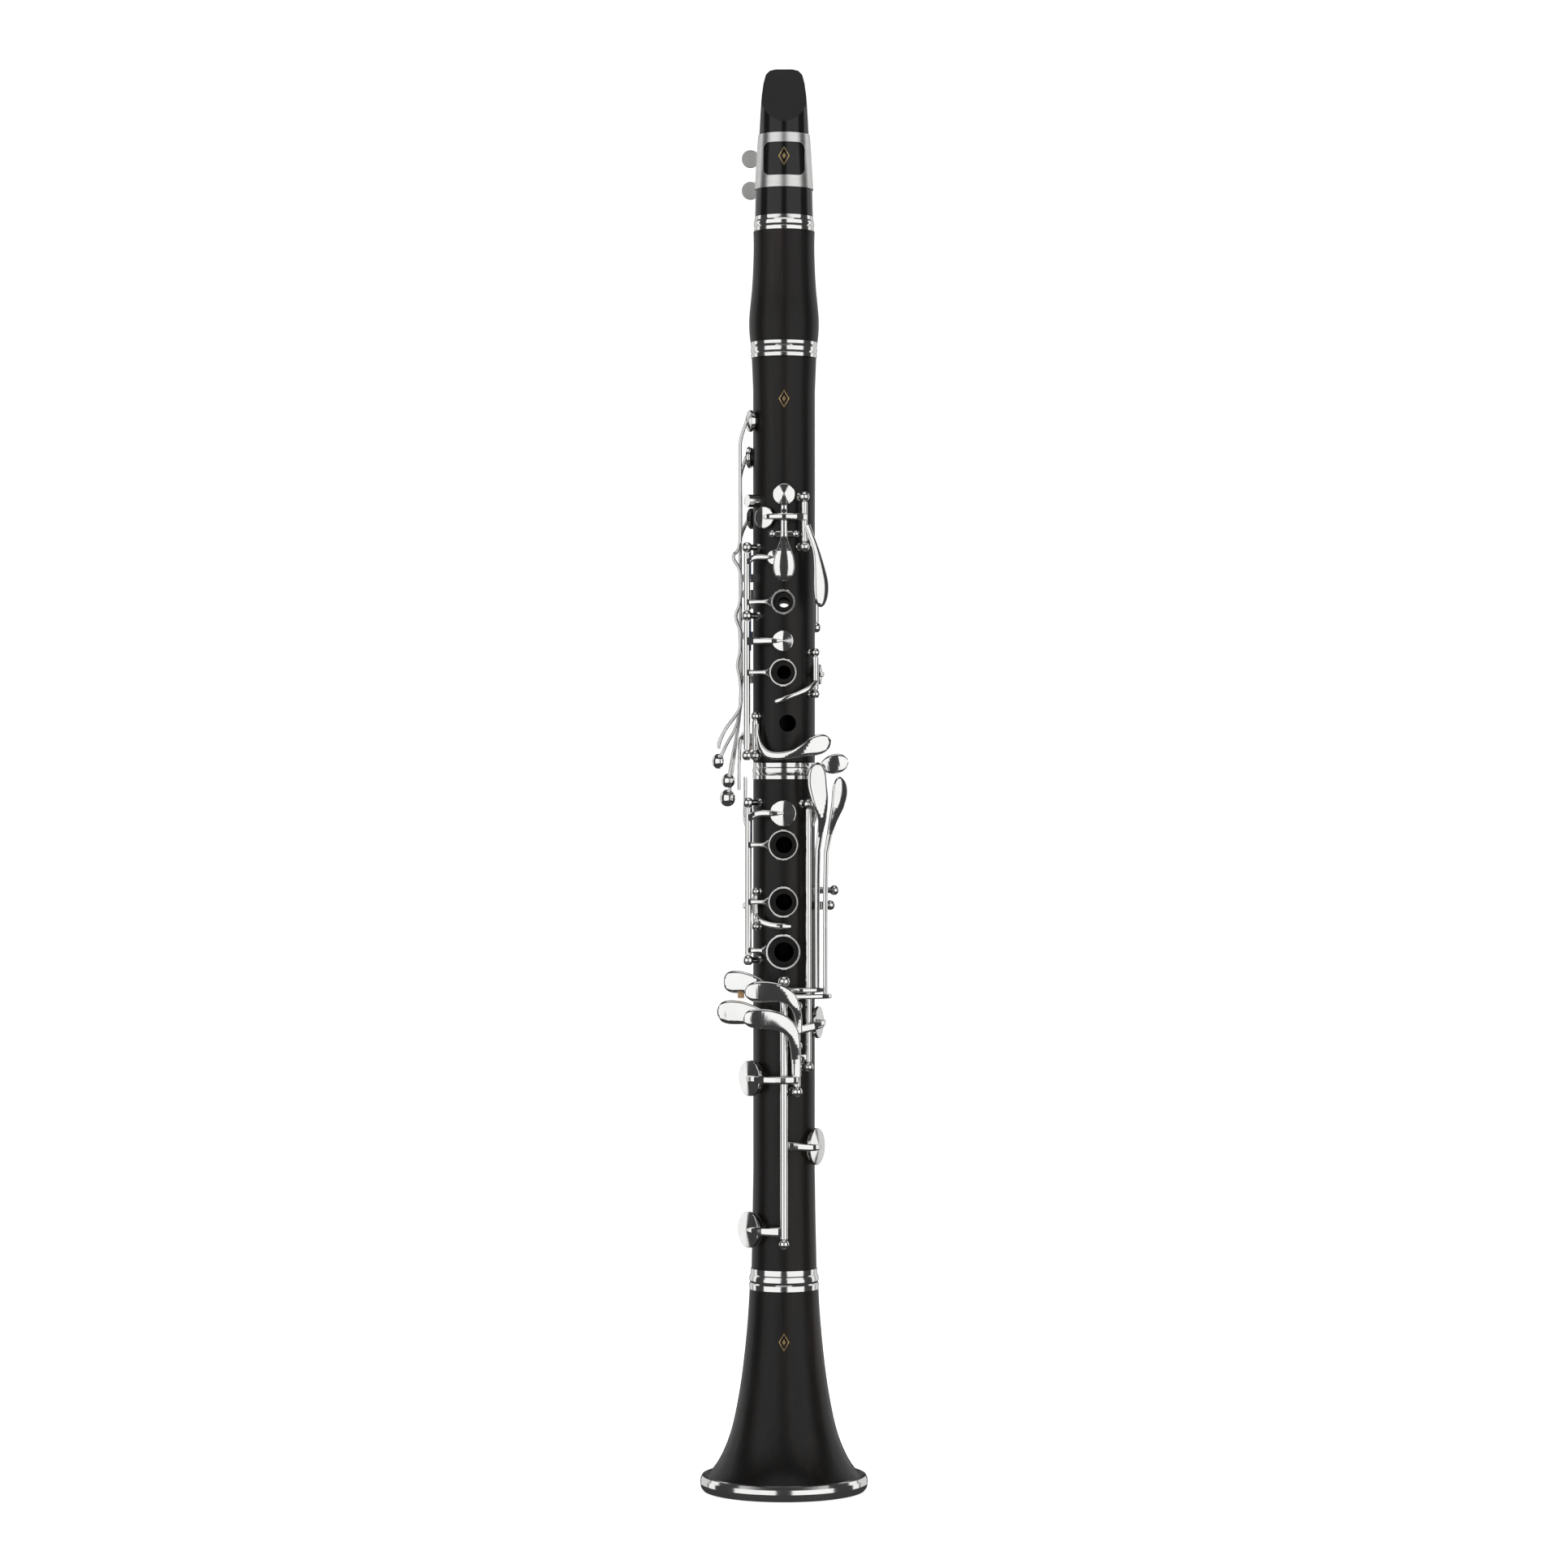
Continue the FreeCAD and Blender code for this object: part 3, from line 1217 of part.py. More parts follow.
def upper_joint_parts():
    """The upper joint's wood, corks, posts, rods, thumb and register tubes and springs."""
    body = turned(
        [
            (TENON_CORE, MIDDLE_SEAM - TENON_LENGTH),
            (TENON_CORE, MIDDLE_SEAM),
            (UPPER_RADIUS - 0.3, MIDDLE_SEAM),
            (UPPER_RADIUS, MIDDLE_SEAM + 0.6),
            (UPPER_RADIUS, 504.0),
            (14.8, BARREL_BOTTOM - 0.5),
            (14.6, BARREL_BOTTOM),
            (TENON_CORE, BARREL_BOTTOM),
            (TENON_CORE, BARREL_BOTTOM + TENON_LENGTH - 1),
            (0, BARREL_BOTTOM + TENON_LENGTH - 1),
            (0, MIDDLE_SEAM - TENON_LENGTH),
        ]
    )
    body = with_holes(body, (UPPER_RING, MIDDLE_RING), MIDDLE_SEAM, BARREL_BOTTOM)
    body = body.cut(hole(*LEFT_THREE))
    body = body.cut(hole(THUMB_RING[1] + 0.01, 180, THUMB_RING[0]))
    body = body.cut(hole(1.9, 180, 478.0))
    body = body.cut(Part.makeCylinder(BORE, 300, Vector(0, 0, MIDDLE_SEAM - 30)))

    thumb = chimney(THUMB_RING[1], 180, THUMB_RING[0], CHIMNEY_HEIGHT)
    thumb = thumb.cut(hole(THUMB_RING[4], 180, THUMB_RING[0]))
    vent = cylinder(at(5.2, 180, 478.0), at(SEAT_HEIGHT, 180, 478.0), 1.88).cut(hole(1.2, 180, 478.0))
    cork_ends = (
        (MIDDLE_SEAM - TENON_LENGTH + 1.5, MIDDLE_SEAM - 1.5),
        (BARREL_BOTTOM + 1.5, BARREL_BOTTOM + TENON_LENGTH - 2.5),
    )
    corks = [ring_solid(CORK_RADIUS, TENON_CORE + 0.02, low, high) for low, high in cork_ends]

    r = UPPER_RADIUS
    posts = [post(UPPER_STACK, z, r) for z in UPPER_STACK_POSTS[:2]]
    posts.append(post(UPPER_STACK, UPPER_STACK_POSTS[2], r, lower_hole=C_SHARP_ROD))
    posts += [post(THROAT_G_SHARP_ROD, z, r) for z in G_SHARP_POSTS]
    posts += [post(E_FLAT_ROD, z, r, 2.0) for z in E_FLAT_POSTS]
    posts.append(post(C_SHARP_ROD, C_SHARP_POSTS[0], r, 2.0))
    posts += [post(THUMB_ROD, z, r) for z in THUMB_POSTS]
    pin, pin_z = A_KEY_PIVOT
    for side in (-1, 1):
        x = side * 5.4
        ball = Part.makeSphere(1.7, Vector(x, -pin, pin_z))
        stem = cylinder(Vector(x, -11, pin_z), Vector(x, -pin, pin_z), 1.1)
        bore = cylinder(Vector(x - 4, -pin, pin_z), Vector(x + 4, -pin, pin_z), PIVOT_HOLE)
        one = ball.fuse(stem).cut(bore)
        posts.append(one.cut(Part.makeCylinder(r, 20, Vector(0, 0, pin_z - 10))))
    guide_angle, guide_z, guide_reach = SIDE_KEY_GUIDE
    guide = cylinder(at(r - 3, guide_angle, guide_z), at(guide_reach, guide_angle, guide_z), 2.9)
    posts.append(guide.cut(Part.makeCylinder(r, 20, Vector(0, 0, guide_z - 10))))
    rods = [
        rod(UPPER_STACK, UPPER_STACK_POSTS[2], UPPER_STACK_POSTS[0]),
        rod(THROAT_G_SHARP_ROD, G_SHARP_POSTS[1], G_SHARP_POSTS[0]),
        rod(E_FLAT_ROD, E_FLAT_POSTS[1], E_FLAT_POSTS[0], 1.8),
        rod(C_SHARP_ROD, C_SHARP_POSTS[1], C_SHARP_POSTS[0], 1.8),
        rod(THUMB_ROD, THUMB_POSTS[1], THUMB_POSTS[0]),
        cylinder(Vector(-6.9, -pin, pin_z), Vector(6.9, -pin, pin_z), PIVOT),
    ]
    for side, slot, pin_r, z in SEESAWS.values():
        posts.append(spun(saddle(slot, pin_r, z), side))
        rods.append(spun(saddle_pin(slot, pin_r, z), side))
    springs = [
        spring(UPPER_STACK, UPPER_STACK_POSTS[0], -14),
        spring(UPPER_STACK, UPPER_STACK_POSTS[1], -16),
        spring(THROAT_G_SHARP_ROD, G_SHARP_POSTS[0], -14),
        spring(THUMB_ROD, THUMB_POSTS[0], -12),
    ]
    return {
        "upper_joint_body": body,
        "upper_joint_corks": Part.makeCompound(corks),
        "thumb_and_register_tubes": Part.makeCompound([thumb, vent]),
        "upper_joint_posts": Part.makeCompound(posts),
        "upper_pivot_rods": Part.makeCompound(rods),
        "upper_needle_springs": Part.makeCompound(springs),
    }


def lever_pivot(name, place, body):
    """The saddle, long pin and tall outer post of a little-finger lever."""
    angle, _, pin, z = place
    reach = TALL_POST[name]
    half = LUG_WIDTH / 2 + CHEEK_GAP + CHEEK
    ball_at = Vector(reach, -pin, z)
    foot = Vector(reach * 0.45, -pin * 0.45, z)
    stem = Part.makeCone(1.9, 1.2, (ball_at - foot).Length, foot, ball_at - foot)
    bore = cylinder(Vector(reach - 4, -pin, z), Vector(reach + 4, -pin, z), PIVOT_HOLE)
    tall = Part.makeSphere(2.25, ball_at).fuse(stem).cut(bore)
    tall = tall.cut(Part.makeCylinder(body, 20, Vector(0, 0, z - 10)))
    pivot = cylinder(Vector(-half, -pin, z), Vector(reach + 2.0, -pin, z), PIVOT)
    return spun(saddle(0, pin, z), angle), spun(tall, angle), spun(pivot, angle)


def lower_joint_parts():
    """The lower joint's wood, ring, cork, posts, rods, thumb rest and springs."""
    ring_low = MIDDLE_SEAM - 7.5
    ring_inner = MIDDLE_RING_SEAT
    body = turned(
        [
            (LOWER_TENON_CORE, BELL_TOP - TENON_LENGTH),
            (LOWER_TENON_CORE, BELL_TOP),
            (15.0, BELL_TOP),
            (14.5, 124.0),
            (LOWER_RADIUS, 147.0),
            (LOWER_RADIUS, ring_low),
            (ring_inner, ring_low),
            (ring_inner, MIDDLE_SEAM - 0.1),
            (0, MIDDLE_SEAM - 0.1),
            (0, BELL_TOP - TENON_LENGTH),
        ]
    )
    body = with_holes(body, RIGHT_RINGS, BELL_TOP, MIDDLE_SEAM)
    socket_foot = Vector(0, 0, MIDDLE_SEAM - SOCKET_DEPTH)
    body = body.cut(Part.makeCylinder(SOCKET_RADIUS, SOCKET_DEPTH + 5, socket_foot))
    flare = turned([(0, 80), (10.4, 80), (BORE, 180.0), (BORE, 330.0), (0, 330.0)])
    body = body.cut(flare)
    collar = turned(
        [
            (ring_inner + 0.01, ring_low + 0.01),
            (14.25, ring_low + 0.01),
            (14.4, ring_low + 1.6),
            (14.1, ring_low + 2.1),
            (14.35, ring_low + 3.0),
            (14.45, ring_low + 4.0),
            (14.3, ring_low + 5.0),
            (14.05, ring_low + 5.5),
            (14.2, MIDDLE_SEAM - 0.1),
            (ring_inner + 0.01, MIDDLE_SEAM - 0.1),
        ]
    )
    cork_low = BELL_TOP - TENON_LENGTH + 1.5
    cork = ring_solid(LOWER_CORK_RADIUS, LOWER_TENON_CORE + 0.02, cork_low, BELL_TOP - 1.5)

    r = LOWER_RADIUS
    posts = [post(LOWER_STACK, z, r) for z in LOWER_STACK_POSTS]
    posts += [post(B_ROD, z, r, 2.0) for z in B_POSTS]
    posts += [post(LEVER_ROD, z, r) for z in LEVER_POSTS]
    posts.append(post(CENTRE_ROD, CENTRE_POSTS[0], r, 2.7, lower_hole=UNDER_ROD))
    posts.append(post(CENTRE_ROD, CENTRE_POSTS[1], 14.95))
    posts.append(post(UNDER_ROD, UNDER_POST, r, 2.0))
    posts += [post(SIDE_ROD, z, r) for z in SIDE_POSTS]
    rods = [
        rod(LOWER_STACK, LOWER_STACK_POSTS[1], LOWER_STACK_POSTS[0]),
        rod(B_ROD, B_POSTS[1], B_POSTS[0], 1.8),
        rod(LEVER_ROD, LEVER_POSTS[1], LEVER_POSTS[0]),
        rod(CENTRE_ROD, CENTRE_POSTS[1], CENTRE_POSTS[0]),
        rod(UNDER_ROD, UNDER_POST, CENTRE_POSTS[0], 1.8),
        rod(SIDE_ROD, SIDE_POSTS[2], SIDE_POSTS[0]),
    ]
    for name, place in (("f_sharp_lever", F_SHARP_LEVER), ("e_lever", E_LEVER)):
        fork, tall, pivot = lever_pivot(name, place, r)
        posts += [fork, tall]
        rods.append(pivot)
    springs = [
        spring(LOWER_STACK, LOWER_STACK_POSTS[0], -18),
        spring(LEVER_ROD, LEVER_POSTS[1], 18),
        spring(CENTRE_ROD, CENTRE_POSTS[1], 22, -2.45),
        spring(SIDE_ROD, SIDE_POSTS[2], 12),
    ]
    nodes = {
        "lower_joint_body": body,
        "middle_socket_ring": collar,
        "lower_tenon_cork": cork,
        "lower_joint_posts": Part.makeCompound(posts),
        "lower_pivot_rods": Part.makeCompound(rods),
        "lower_needle_springs": Part.makeCompound(springs),
    }
    nodes.update(thumb_rest_parts())
    return nodes


STRAP_RING = (19.2, 289.5, 3.0, 4.3)


def thumb_rest_parts():
    """The thumb rest at the back, with its strap ring and two screws."""
    low, high = 262.0, 292.0
    shell = ring_solid(LOWER_RADIUS + 1.5, LOWER_RADIUS + 0.02, low, high)
    plate = shell.common(Part.makeBox(12, 20, high - low, Vector(-6, 5, low)))
    hook = Part.makeBox(11, 14, 2.4, Vector(-5.5, LOWER_RADIUS + 0.9, 273.0))
    hook = hook.makeFillet(1.0, [e for e in hook.Edges if abs(e.tangentAt(e.FirstParameter).x) > 0.9])
    brace = Part.makeBox(3, 6, 6, Vector(-1.5, LOWER_RADIUS + 0.9, 268.0))
    ring_y, ring_z, ring_in, ring_out = STRAP_RING
    eye = cylinder(Vector(-1.1, ring_y, ring_z), Vector(1.1, ring_y, ring_z), ring_out)
    eye = eye.cut(cylinder(Vector(-3, ring_y, ring_z), Vector(3, ring_y, ring_z), ring_in))
    eye = eye.cut(Part.makeCylinder(LOWER_RADIUS + 0.02, 20, Vector(0, 0, ring_z - 10)))
    rest = fuse([plate, hook, brace, eye])
    screws = []
    for z in (265.0, 281.5):
        bore = cylinder(Vector(0, 10, z), Vector(0, 30, z), 1.25)
        rest = rest.cut(bore)
        top = LOWER_RADIUS + 1.55
        shank = cylinder(Vector(0, LOWER_RADIUS + 0.05, z), Vector(0, top + 0.2, z), 1.2)
        head = cylinder(Vector(0, top, z), Vector(0, top + 1.1, z), 2.1)
        slot = Part.makeBox(5, 0.6, 0.6, Vector(-2.5, top + 0.6, z - 0.3))
        screws.append(shank.fuse(head).cut(slot))
    return {"thumb_rest": rest, "thumb_rest_screws": Part.makeCompound(screws)}


def bell_parts():
    """The bell with its socket ring and rim ring."""
    ring_low = BELL_TOP - 9.5
    outline = [
        (15.85, ring_low),
        (16.6, 79.3),
        (18.0, 64.1),
        (19.9, 48.8),
        (21.9, 37.4),
        (24.6, 26.1),
        (27.5, 18.4),
        (31.7, 10.8),
        (BELL_SEAT_RADIUS, 5.6),
    ]
    inside = [
        (11.0, BELL_TOP - SOCKET_DEPTH - 1),
        (12.0, 70.0),
        (14.0, 56.0),
        (17.6, 37.4),
        (20.6, 26.1),
        (24.0, 17.0),
        (29.0, 8.6),
        (34.2, 1.6),
    ]
    ring_inner = BELL_RING_SEAT
    body = turned(outline[::-1], smooth=True)
    foot = Part.makeCylinder(BELL_SEAT_RADIUS, 4.0, Vector(0, 0, 1.6))
    neck = Part.makeCylinder(ring_inner, 9.5, Vector(0, 0, ring_low - 1))
    body = fuse([body, foot, neck])
    body = body.cut(turned(inside[::-1], smooth=True))
    body = body.cut(Part.makeCylinder(11.0, 60, Vector(0, 0, 60)))
    socket_foot = Vector(0, 0, BELL_TOP - SOCKET_DEPTH)
    body = body.cut(Part.makeCylinder(BELL_SOCKET_RADIUS, SOCKET_DEPTH + 5, socket_foot))
    body = body.cut(ring_solid(60, BELL_SEAT_RADIUS, 5.6, 15.6))
    socket_ring = turned(
        [
            (ring_inner + 0.01, ring_low + 0.01),
            (15.9, ring_low + 0.01),
            (16.0, ring_low + 2.4),
            (15.6, ring_low + 3.0),
            (15.9, ring_low + 4.0),
            (15.95, ring_low + 5.4),
            (15.6, ring_low + 6.4),
            (15.3, ring_low + 6.9),
            (15.4, BELL_TOP - 1.0),
            (15.2, BELL_TOP - 0.1),
            (ring_inner + 0.01, BELL_TOP - 0.1),
        ]
    )
    rim = turned(
        [
            (34.2, 0.7),
            (34.9, 0),
            (37.1, 0),
            (38.1, 1.2),
            (BELL_RIM_RADIUS, 3.4),
            (38.3, 5.4),
            (37.6, 6.8),
            (BELL_SEAT_RADIUS + 0.02, 7.2),
            (BELL_SEAT_RADIUS + 0.02, 1.58),
            (34.2, 1.58),
        ]
    )
    return {"bell": body, "bell_socket_ring": socket_ring, "bell_rim_ring": rim}


def key_parts():
    """Every key at rest, with its pad as a node of its own (a trill key holds its pad)."""
    nodes = {}
    makers = dict(KEY_MAKERS)
    for name in TRILL_TOUCHES:
        makers[name] = lambda name=name: trill_key(name)
    for name, make in makers.items():
        solid, disc = make()
        if name in OPEN_STANDING:
            point, direction = hinge(name)
            for shape in (solid, disc):
                shape.rotate(point, direction, -TRAVEL[name])
        if name in TRILL_TOUCHES:
            nodes[name] = Part.makeCompound([solid, disc])
            continue
        nodes[name] = solid
        if disc:
            nodes[name.replace("_key", "_pad")] = disc
    return nodes


def main():
    """Write one STEP file for each node."""
    os.makedirs("parts", exist_ok=True)
    nodes = {}
    for make in (mouthpiece_parts, barrel_parts, upper_joint_parts, lower_joint_parts, bell_parts, key_parts):
        nodes.update(make())
    for name, shape in nodes.items():
        shape.exportStep(f"parts/{name}.step")
        print(name, len(shape.Solids), shape.isValid(), round(shape.Volume, 1))
    print(len(nodes), "nodes")


if __name__ == "__main__":
    main()
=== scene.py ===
import json
import math

import bpy
import numpy as np
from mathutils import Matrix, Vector
from mathutils.bvhtree import BVHTree


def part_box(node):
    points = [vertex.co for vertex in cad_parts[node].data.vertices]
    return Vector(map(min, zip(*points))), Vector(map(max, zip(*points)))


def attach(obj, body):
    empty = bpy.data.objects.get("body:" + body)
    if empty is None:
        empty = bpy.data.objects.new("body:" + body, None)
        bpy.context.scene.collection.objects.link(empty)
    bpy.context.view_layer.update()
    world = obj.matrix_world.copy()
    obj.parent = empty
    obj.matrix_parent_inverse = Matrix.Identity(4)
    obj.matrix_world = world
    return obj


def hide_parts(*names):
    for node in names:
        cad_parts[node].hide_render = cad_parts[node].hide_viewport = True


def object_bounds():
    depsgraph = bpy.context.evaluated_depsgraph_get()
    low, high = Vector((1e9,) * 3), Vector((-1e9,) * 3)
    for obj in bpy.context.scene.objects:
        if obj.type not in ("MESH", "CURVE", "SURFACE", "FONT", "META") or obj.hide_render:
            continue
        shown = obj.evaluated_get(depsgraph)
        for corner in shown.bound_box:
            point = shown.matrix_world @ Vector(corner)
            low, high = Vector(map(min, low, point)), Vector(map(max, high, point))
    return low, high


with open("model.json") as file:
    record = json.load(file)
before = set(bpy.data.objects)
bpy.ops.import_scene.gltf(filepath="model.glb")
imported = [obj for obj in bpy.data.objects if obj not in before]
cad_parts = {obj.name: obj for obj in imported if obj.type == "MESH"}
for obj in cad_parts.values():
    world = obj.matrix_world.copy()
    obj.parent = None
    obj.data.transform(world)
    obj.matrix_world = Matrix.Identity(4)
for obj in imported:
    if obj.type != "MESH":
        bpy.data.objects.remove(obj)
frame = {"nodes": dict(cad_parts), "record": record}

CAD_BOX = [list(corner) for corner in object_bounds()]
LOW = Vector(CAD_BOX[0])
HIGH = Vector(CAD_BOX[1])
HEIGHT = HIGH.z - LOW.z
NODES = frame["nodes"]
RECORD = frame["record"]
MM = 0.001

# Radius at which a turned profile meets its axis
TIP = 0.0001 * MM
# The bead of a pad that has settled on its tone hole
PAD_DENT = 0.10 * MM
PAD_EDGE = 0.35 * MM
# Turned grooves of a cork sleeve
CORK_GROOVES = 9
GROOVE_DEPTH = 0.07 * MM
GROOVE_REACH = 0.22 * MM
CORK_SOFT = 0.25 * MM
CORK_INSET = 0.02 * MM
# Emblems: node, share of the height, size
EMBLEMS = {
    "emblem_upper": ("upper_joint_body", 0.7645, 3.0 * MM),
    "emblem_bell": ("bell", 0.1065, 3.0 * MM),
    "emblem_mouthpiece": ("mouthpiece", 0.9345, 3.2 * MM),
}
EMBLEM_LIFT = 0.015 * MM
# Bumper under the F-sharp touch: its place from the key's corners, and its size
BUMPER_FROM_LEFT = 8.0 * MM
BUMPER_FROM_FRONT = 4.7 * MM
BUMPER_FROM_TOP = 9.3 * MM
BUMPER_HALF = 1.5 * MM
BUMPER_LENGTH = 3.1 * MM
# Outward normal of the flat facet filed on the beak
BEAK_NORMAL = (0.0, -0.792, 0.610)

SLOT_OF = {row["node"]: row["material_slot"] for row in RECORD["subparts"]}


# Materials

class Graph:
    """A short way to write a node material."""

    def __init__(self, name):
        self.material = bpy.data.materials.new(name)
        self.material.use_nodes = True
        self.tree = self.material.node_tree
        self.tree.nodes.clear()
        self.shader = self.add("ShaderNodeBsdfPrincipled")
        output = self.add("ShaderNodeOutputMaterial")
        self.join(self.shader, "BSDF", output, "Surface")
        self.place = self.add("ShaderNodeTexCoord")

    def add(self, kind, **settings):
        node = self.tree.nodes.new(kind)
        for key, value in settings.items():
            setattr(node, key, value)
        return node

    def join(self, source, out_name, target, in_name):
        self.tree.links.new(source.outputs[out_name], target.inputs[in_name])

    def stretched(self, scale):
        """Object coordinates, scaled on each axis."""
        mapping = self.add("ShaderNodeMapping")
        mapping.inputs["Scale"].default_value = scale
        self.join(self.place, "Object", mapping, "Vector")
        return mapping

    def noise(self, scale, stretch=(1, 1, 1), detail=4.0, roughness=0.5):
        texture = self.add("ShaderNodeTexNoise")
        texture.inputs["Scale"].default_value = scale
        texture.inputs["Detail"].default_value = detail
        texture.inputs["Roughness"].default_value = roughness
        self.join(self.stretched(stretch), "Vector", texture, "Vector")
        return texture

    def ramp(self, source, out_name, stops):
        node = self.add("ShaderNodeValToRGB")
        self.join(source, out_name, node, "Fac")
        elements = node.color_ramp.elements
        while len(elements) < len(stops):
            elements.new(0.5)
        for element, (position, colour) in zip(elements, stops):
            element.position = position
            element.color = (*colour, 1)
        return node

    def span(self, source, out_name, low, high):
        """A value mapped to a range."""
        node = self.add("ShaderNodeMapRange")
        node.inputs["To Min"].default_value = low
        node.inputs["To Max"].default_value = high
        self.join(source, out_name, node, "Value")
        return node

    def bump(self, source, out_name, strength, distance):
        node = self.add("ShaderNodeBump")
        node.inputs["Strength"].default_value = strength
        node.inputs["Distance"].default_value = distance
        self.join(source, out_name, node, "Height")
        self.join(node, "Normal", self.shader, "Normal")
        return node

    def set(self, **values):
        for key, value in values.items():
            self.shader.inputs[key.replace("_", " ")].default_value = value
        return self


def silver(name, colour, rough_low, rough_high, bump):
    """Plated metal: faint cloudy wear in the gloss, a very fine surface."""
    g = Graph(name).set(Metallic=1.0)
    cloud = g.noise(70, detail=5)
    tone = g.ramp(cloud, "Fac", [(0.3, [c * 0.93 for c in colour]), (0.7, colour)])
    g.join(tone, "Color", g.shader, "Base Color")
    wear = g.noise(160, detail=6)
    g.join(g.span(wear, "Fac", rough_low, rough_high), "Result", g.shader, "Roughness")
    g.bump(g.noise(900, detail=3), "Fac", bump, 0.0001)
    return g.material


def brushed(name, colour, rough_low, rough_high):
    """Satin plated sheet, brushed round the instrument."""
    g = Graph(name).set(Metallic=1.0)
    lines = g.noise(260, (0.25, 0.25, 9), detail=6, roughness=0.7)
    tone = g.ramp(lines, "Fac", [(0.3, [c * 0.84 for c in colour]), (0.7, colour)])
    g.join(tone, "Color", g.shader, "Base Color")
    g.join(g.span(lines, "Fac", rough_low, rough_high), "Result", g.shader, "Roughness")
    g.bump(lines, "Fac", 0.22, 0.0001)
    return g.material


def grenadilla():
    """Oiled black wood: long brown-black grain and open pores along the bore."""
    g = Graph("grenadilla").set(Specular_IOR_Level=0.3)
    grain = g.noise(95, (1, 1, 0.035), detail=8, roughness=0.65)
    tone = g.ramp(
        grain,
        "Fac",
        [
            (0.32, (0.0042, 0.0038, 0.0037)),
            (0.55, (0.0085, 0.0072, 0.0066)),
            (0.78, (0.024, 0.017, 0.013)),
        ],
    )
    g.join(tone, "Color", g.shader, "Base Color")
    pores = g.noise(620, (1, 1, 0.05), detail=4, roughness=0.6)
    g.join(g.span(pores, "Fac", 0.25, 0.46), "Result", g.shader, "Roughness")
    g.bump(pores, "Fac", 0.30, 0.0002)
    return g.material


def ebonite():
    """Polished black hard rubber, matt on the filed facet of the beak."""
    g = Graph("ebonite").set(Specular_IOR_Level=0.4)
    cloud = g.noise(45, detail=4)
    tone = g.ramp(cloud, "Fac", [(0.3, (0.006, 0.006, 0.0065)), (0.7, (0.011, 0.011, 0.0115))])
    g.join(tone, "Color", g.shader, "Base Color")
    surface = g.add("ShaderNodeNewGeometry")
    facing = g.add("ShaderNodeVectorMath", operation="DOT_PRODUCT")
    facing.inputs[1].default_value = BEAK_NORMAL
    g.join(surface, "True Normal", facing, 0)
    facet = g.add("ShaderNodeMath", operation="GREATER_THAN")
    facet.inputs[1].default_value = 0.995
    g.join(facing, "Value", facet, 0)
    g.join(g.span(facet, "Value", 0.16, 0.52), "Result", g.shader, "Roughness")
    g.bump(g.noise(520, (1, 1, 0.2), detail=4), "Fac", 0.10, 0.0001)
    return g.material


def cork():
    """Tenon cork: tan with dark flecks."""
    g = Graph("cork").set(Roughness=0.85)
    fleck = g.add("ShaderNodeTexVoronoi", feature="F1")
    fleck.inputs["Scale"].default_value = 900
    g.join(g.place, "Object", fleck, "Vector")
    tone = g.ramp(
        fleck,
        "Distance",
        [(0.05, (0.16, 0.075, 0.03)), (0.3, (0.42, 0.24, 0.11)), (0.8, (0.58, 0.38, 0.20))],
    )
    g.join(tone, "Color", g.shader, "Base Color")
    g.bump(fleck, "Distance", 0.5, 0.0003)
    return g.material


def cane():
    """Raw cane: straw with fine lengthwise fibres."""
    g = Graph("cane").set(Roughness=0.55)
    fibres = g.noise(900, (1, 1, 0.02), detail=5)
    tone = g.ramp(
        fibres,
        "Fac",
        [(0.3, (0.52, 0.36, 0.15)), (0.6, (0.74, 0.58, 0.30)), (0.8, (0.82, 0.69, 0.42))],
    )
    g.join(tone, "Color", g.shader, "Base Color")
    g.bump(fibres, "Fac", 0.35, 0.0002)
    return g.material


def pad_skin():
    """Fish-skin pad: cream, slightly glossy, faintly wrinkled."""
    g = Graph("pad_skin").set(Roughness=0.42, Subsurface_Weight=0.1)
    cloud = g.noise(380, detail=5)
    tone = g.ramp(cloud, "Fac", [(0.3, (0.62, 0.50, 0.33)), (0.7, (0.80, 0.72, 0.56))])
    g.join(tone, "Color", g.shader, "Base Color")
    g.bump(cloud, "Fac", 0.25, 0.0002)
    return g.material


def steel(name, colour, low, high):
    """Turned steel: rings round each rod."""
    g = Graph(name).set(Metallic=1.0)
    rings = g.noise(1500, (0.1, 0.1, 1), detail=4)
    tone = g.ramp(rings, "Fac", [(0.3, [c * 0.8 for c in colour]), (0.7, colour)])
    g.join(tone, "Color", g.shader, "Base Color")
    g.join(g.span(rings, "Fac", low, high), "Result", g.shader, "Roughness")
    g.bump(rings, "Fac", 0.15, 0.0001)
    return g.material


def make_materials():
    return {
        "grenadilla": grenadilla(),
        "ebonite": ebonite(),
        "ring_silver": silver("ring_silver", (0.93, 0.93, 0.92), 0.08, 0.16, 0.04),
        "key_silver": silver("key_silver", (0.95, 0.95, 0.94), 0.06, 0.13, 0.03),
        "ligature_silver": brushed("ligature_silver", (0.90, 0.90, 0.89), 0.24, 0.38),
        "screw_silver": brushed("screw_silver", (0.92, 0.92, 0.91), 0.46, 0.58),
        "cork": cork(),
        "cane": cane(),
        "pad_skin": pad_skin(),
        "rod_steel": steel("rod_steel", (0.66, 0.66, 0.68), 0.14, 0.28),
        "spring_steel": steel("spring_steel", (0.06, 0.09, 0.20), 0.2, 0.35),
    }


MATERIALS = make_materials()


def dress_cad():
    """Give each CAD node its material."""
    for name, node in NODES.items():
        node.data.materials.clear()
        finish = "screw_silver" if name.startswith("ligature_screw") else SLOT_OF[name]
        node.data.materials.append(MATERIALS[finish])
        if name.startswith("trill_key"):
            node.data.materials.append(MATERIALS["pad_skin"])


# Soft parts and small fittings, modelled as meshes

def body_of(node):
    """The body a CAD node belongs to."""
    bodies = RECORD["behaviour"]["bodies"]
    return next(body for body, names in bodies.items() if node in names)


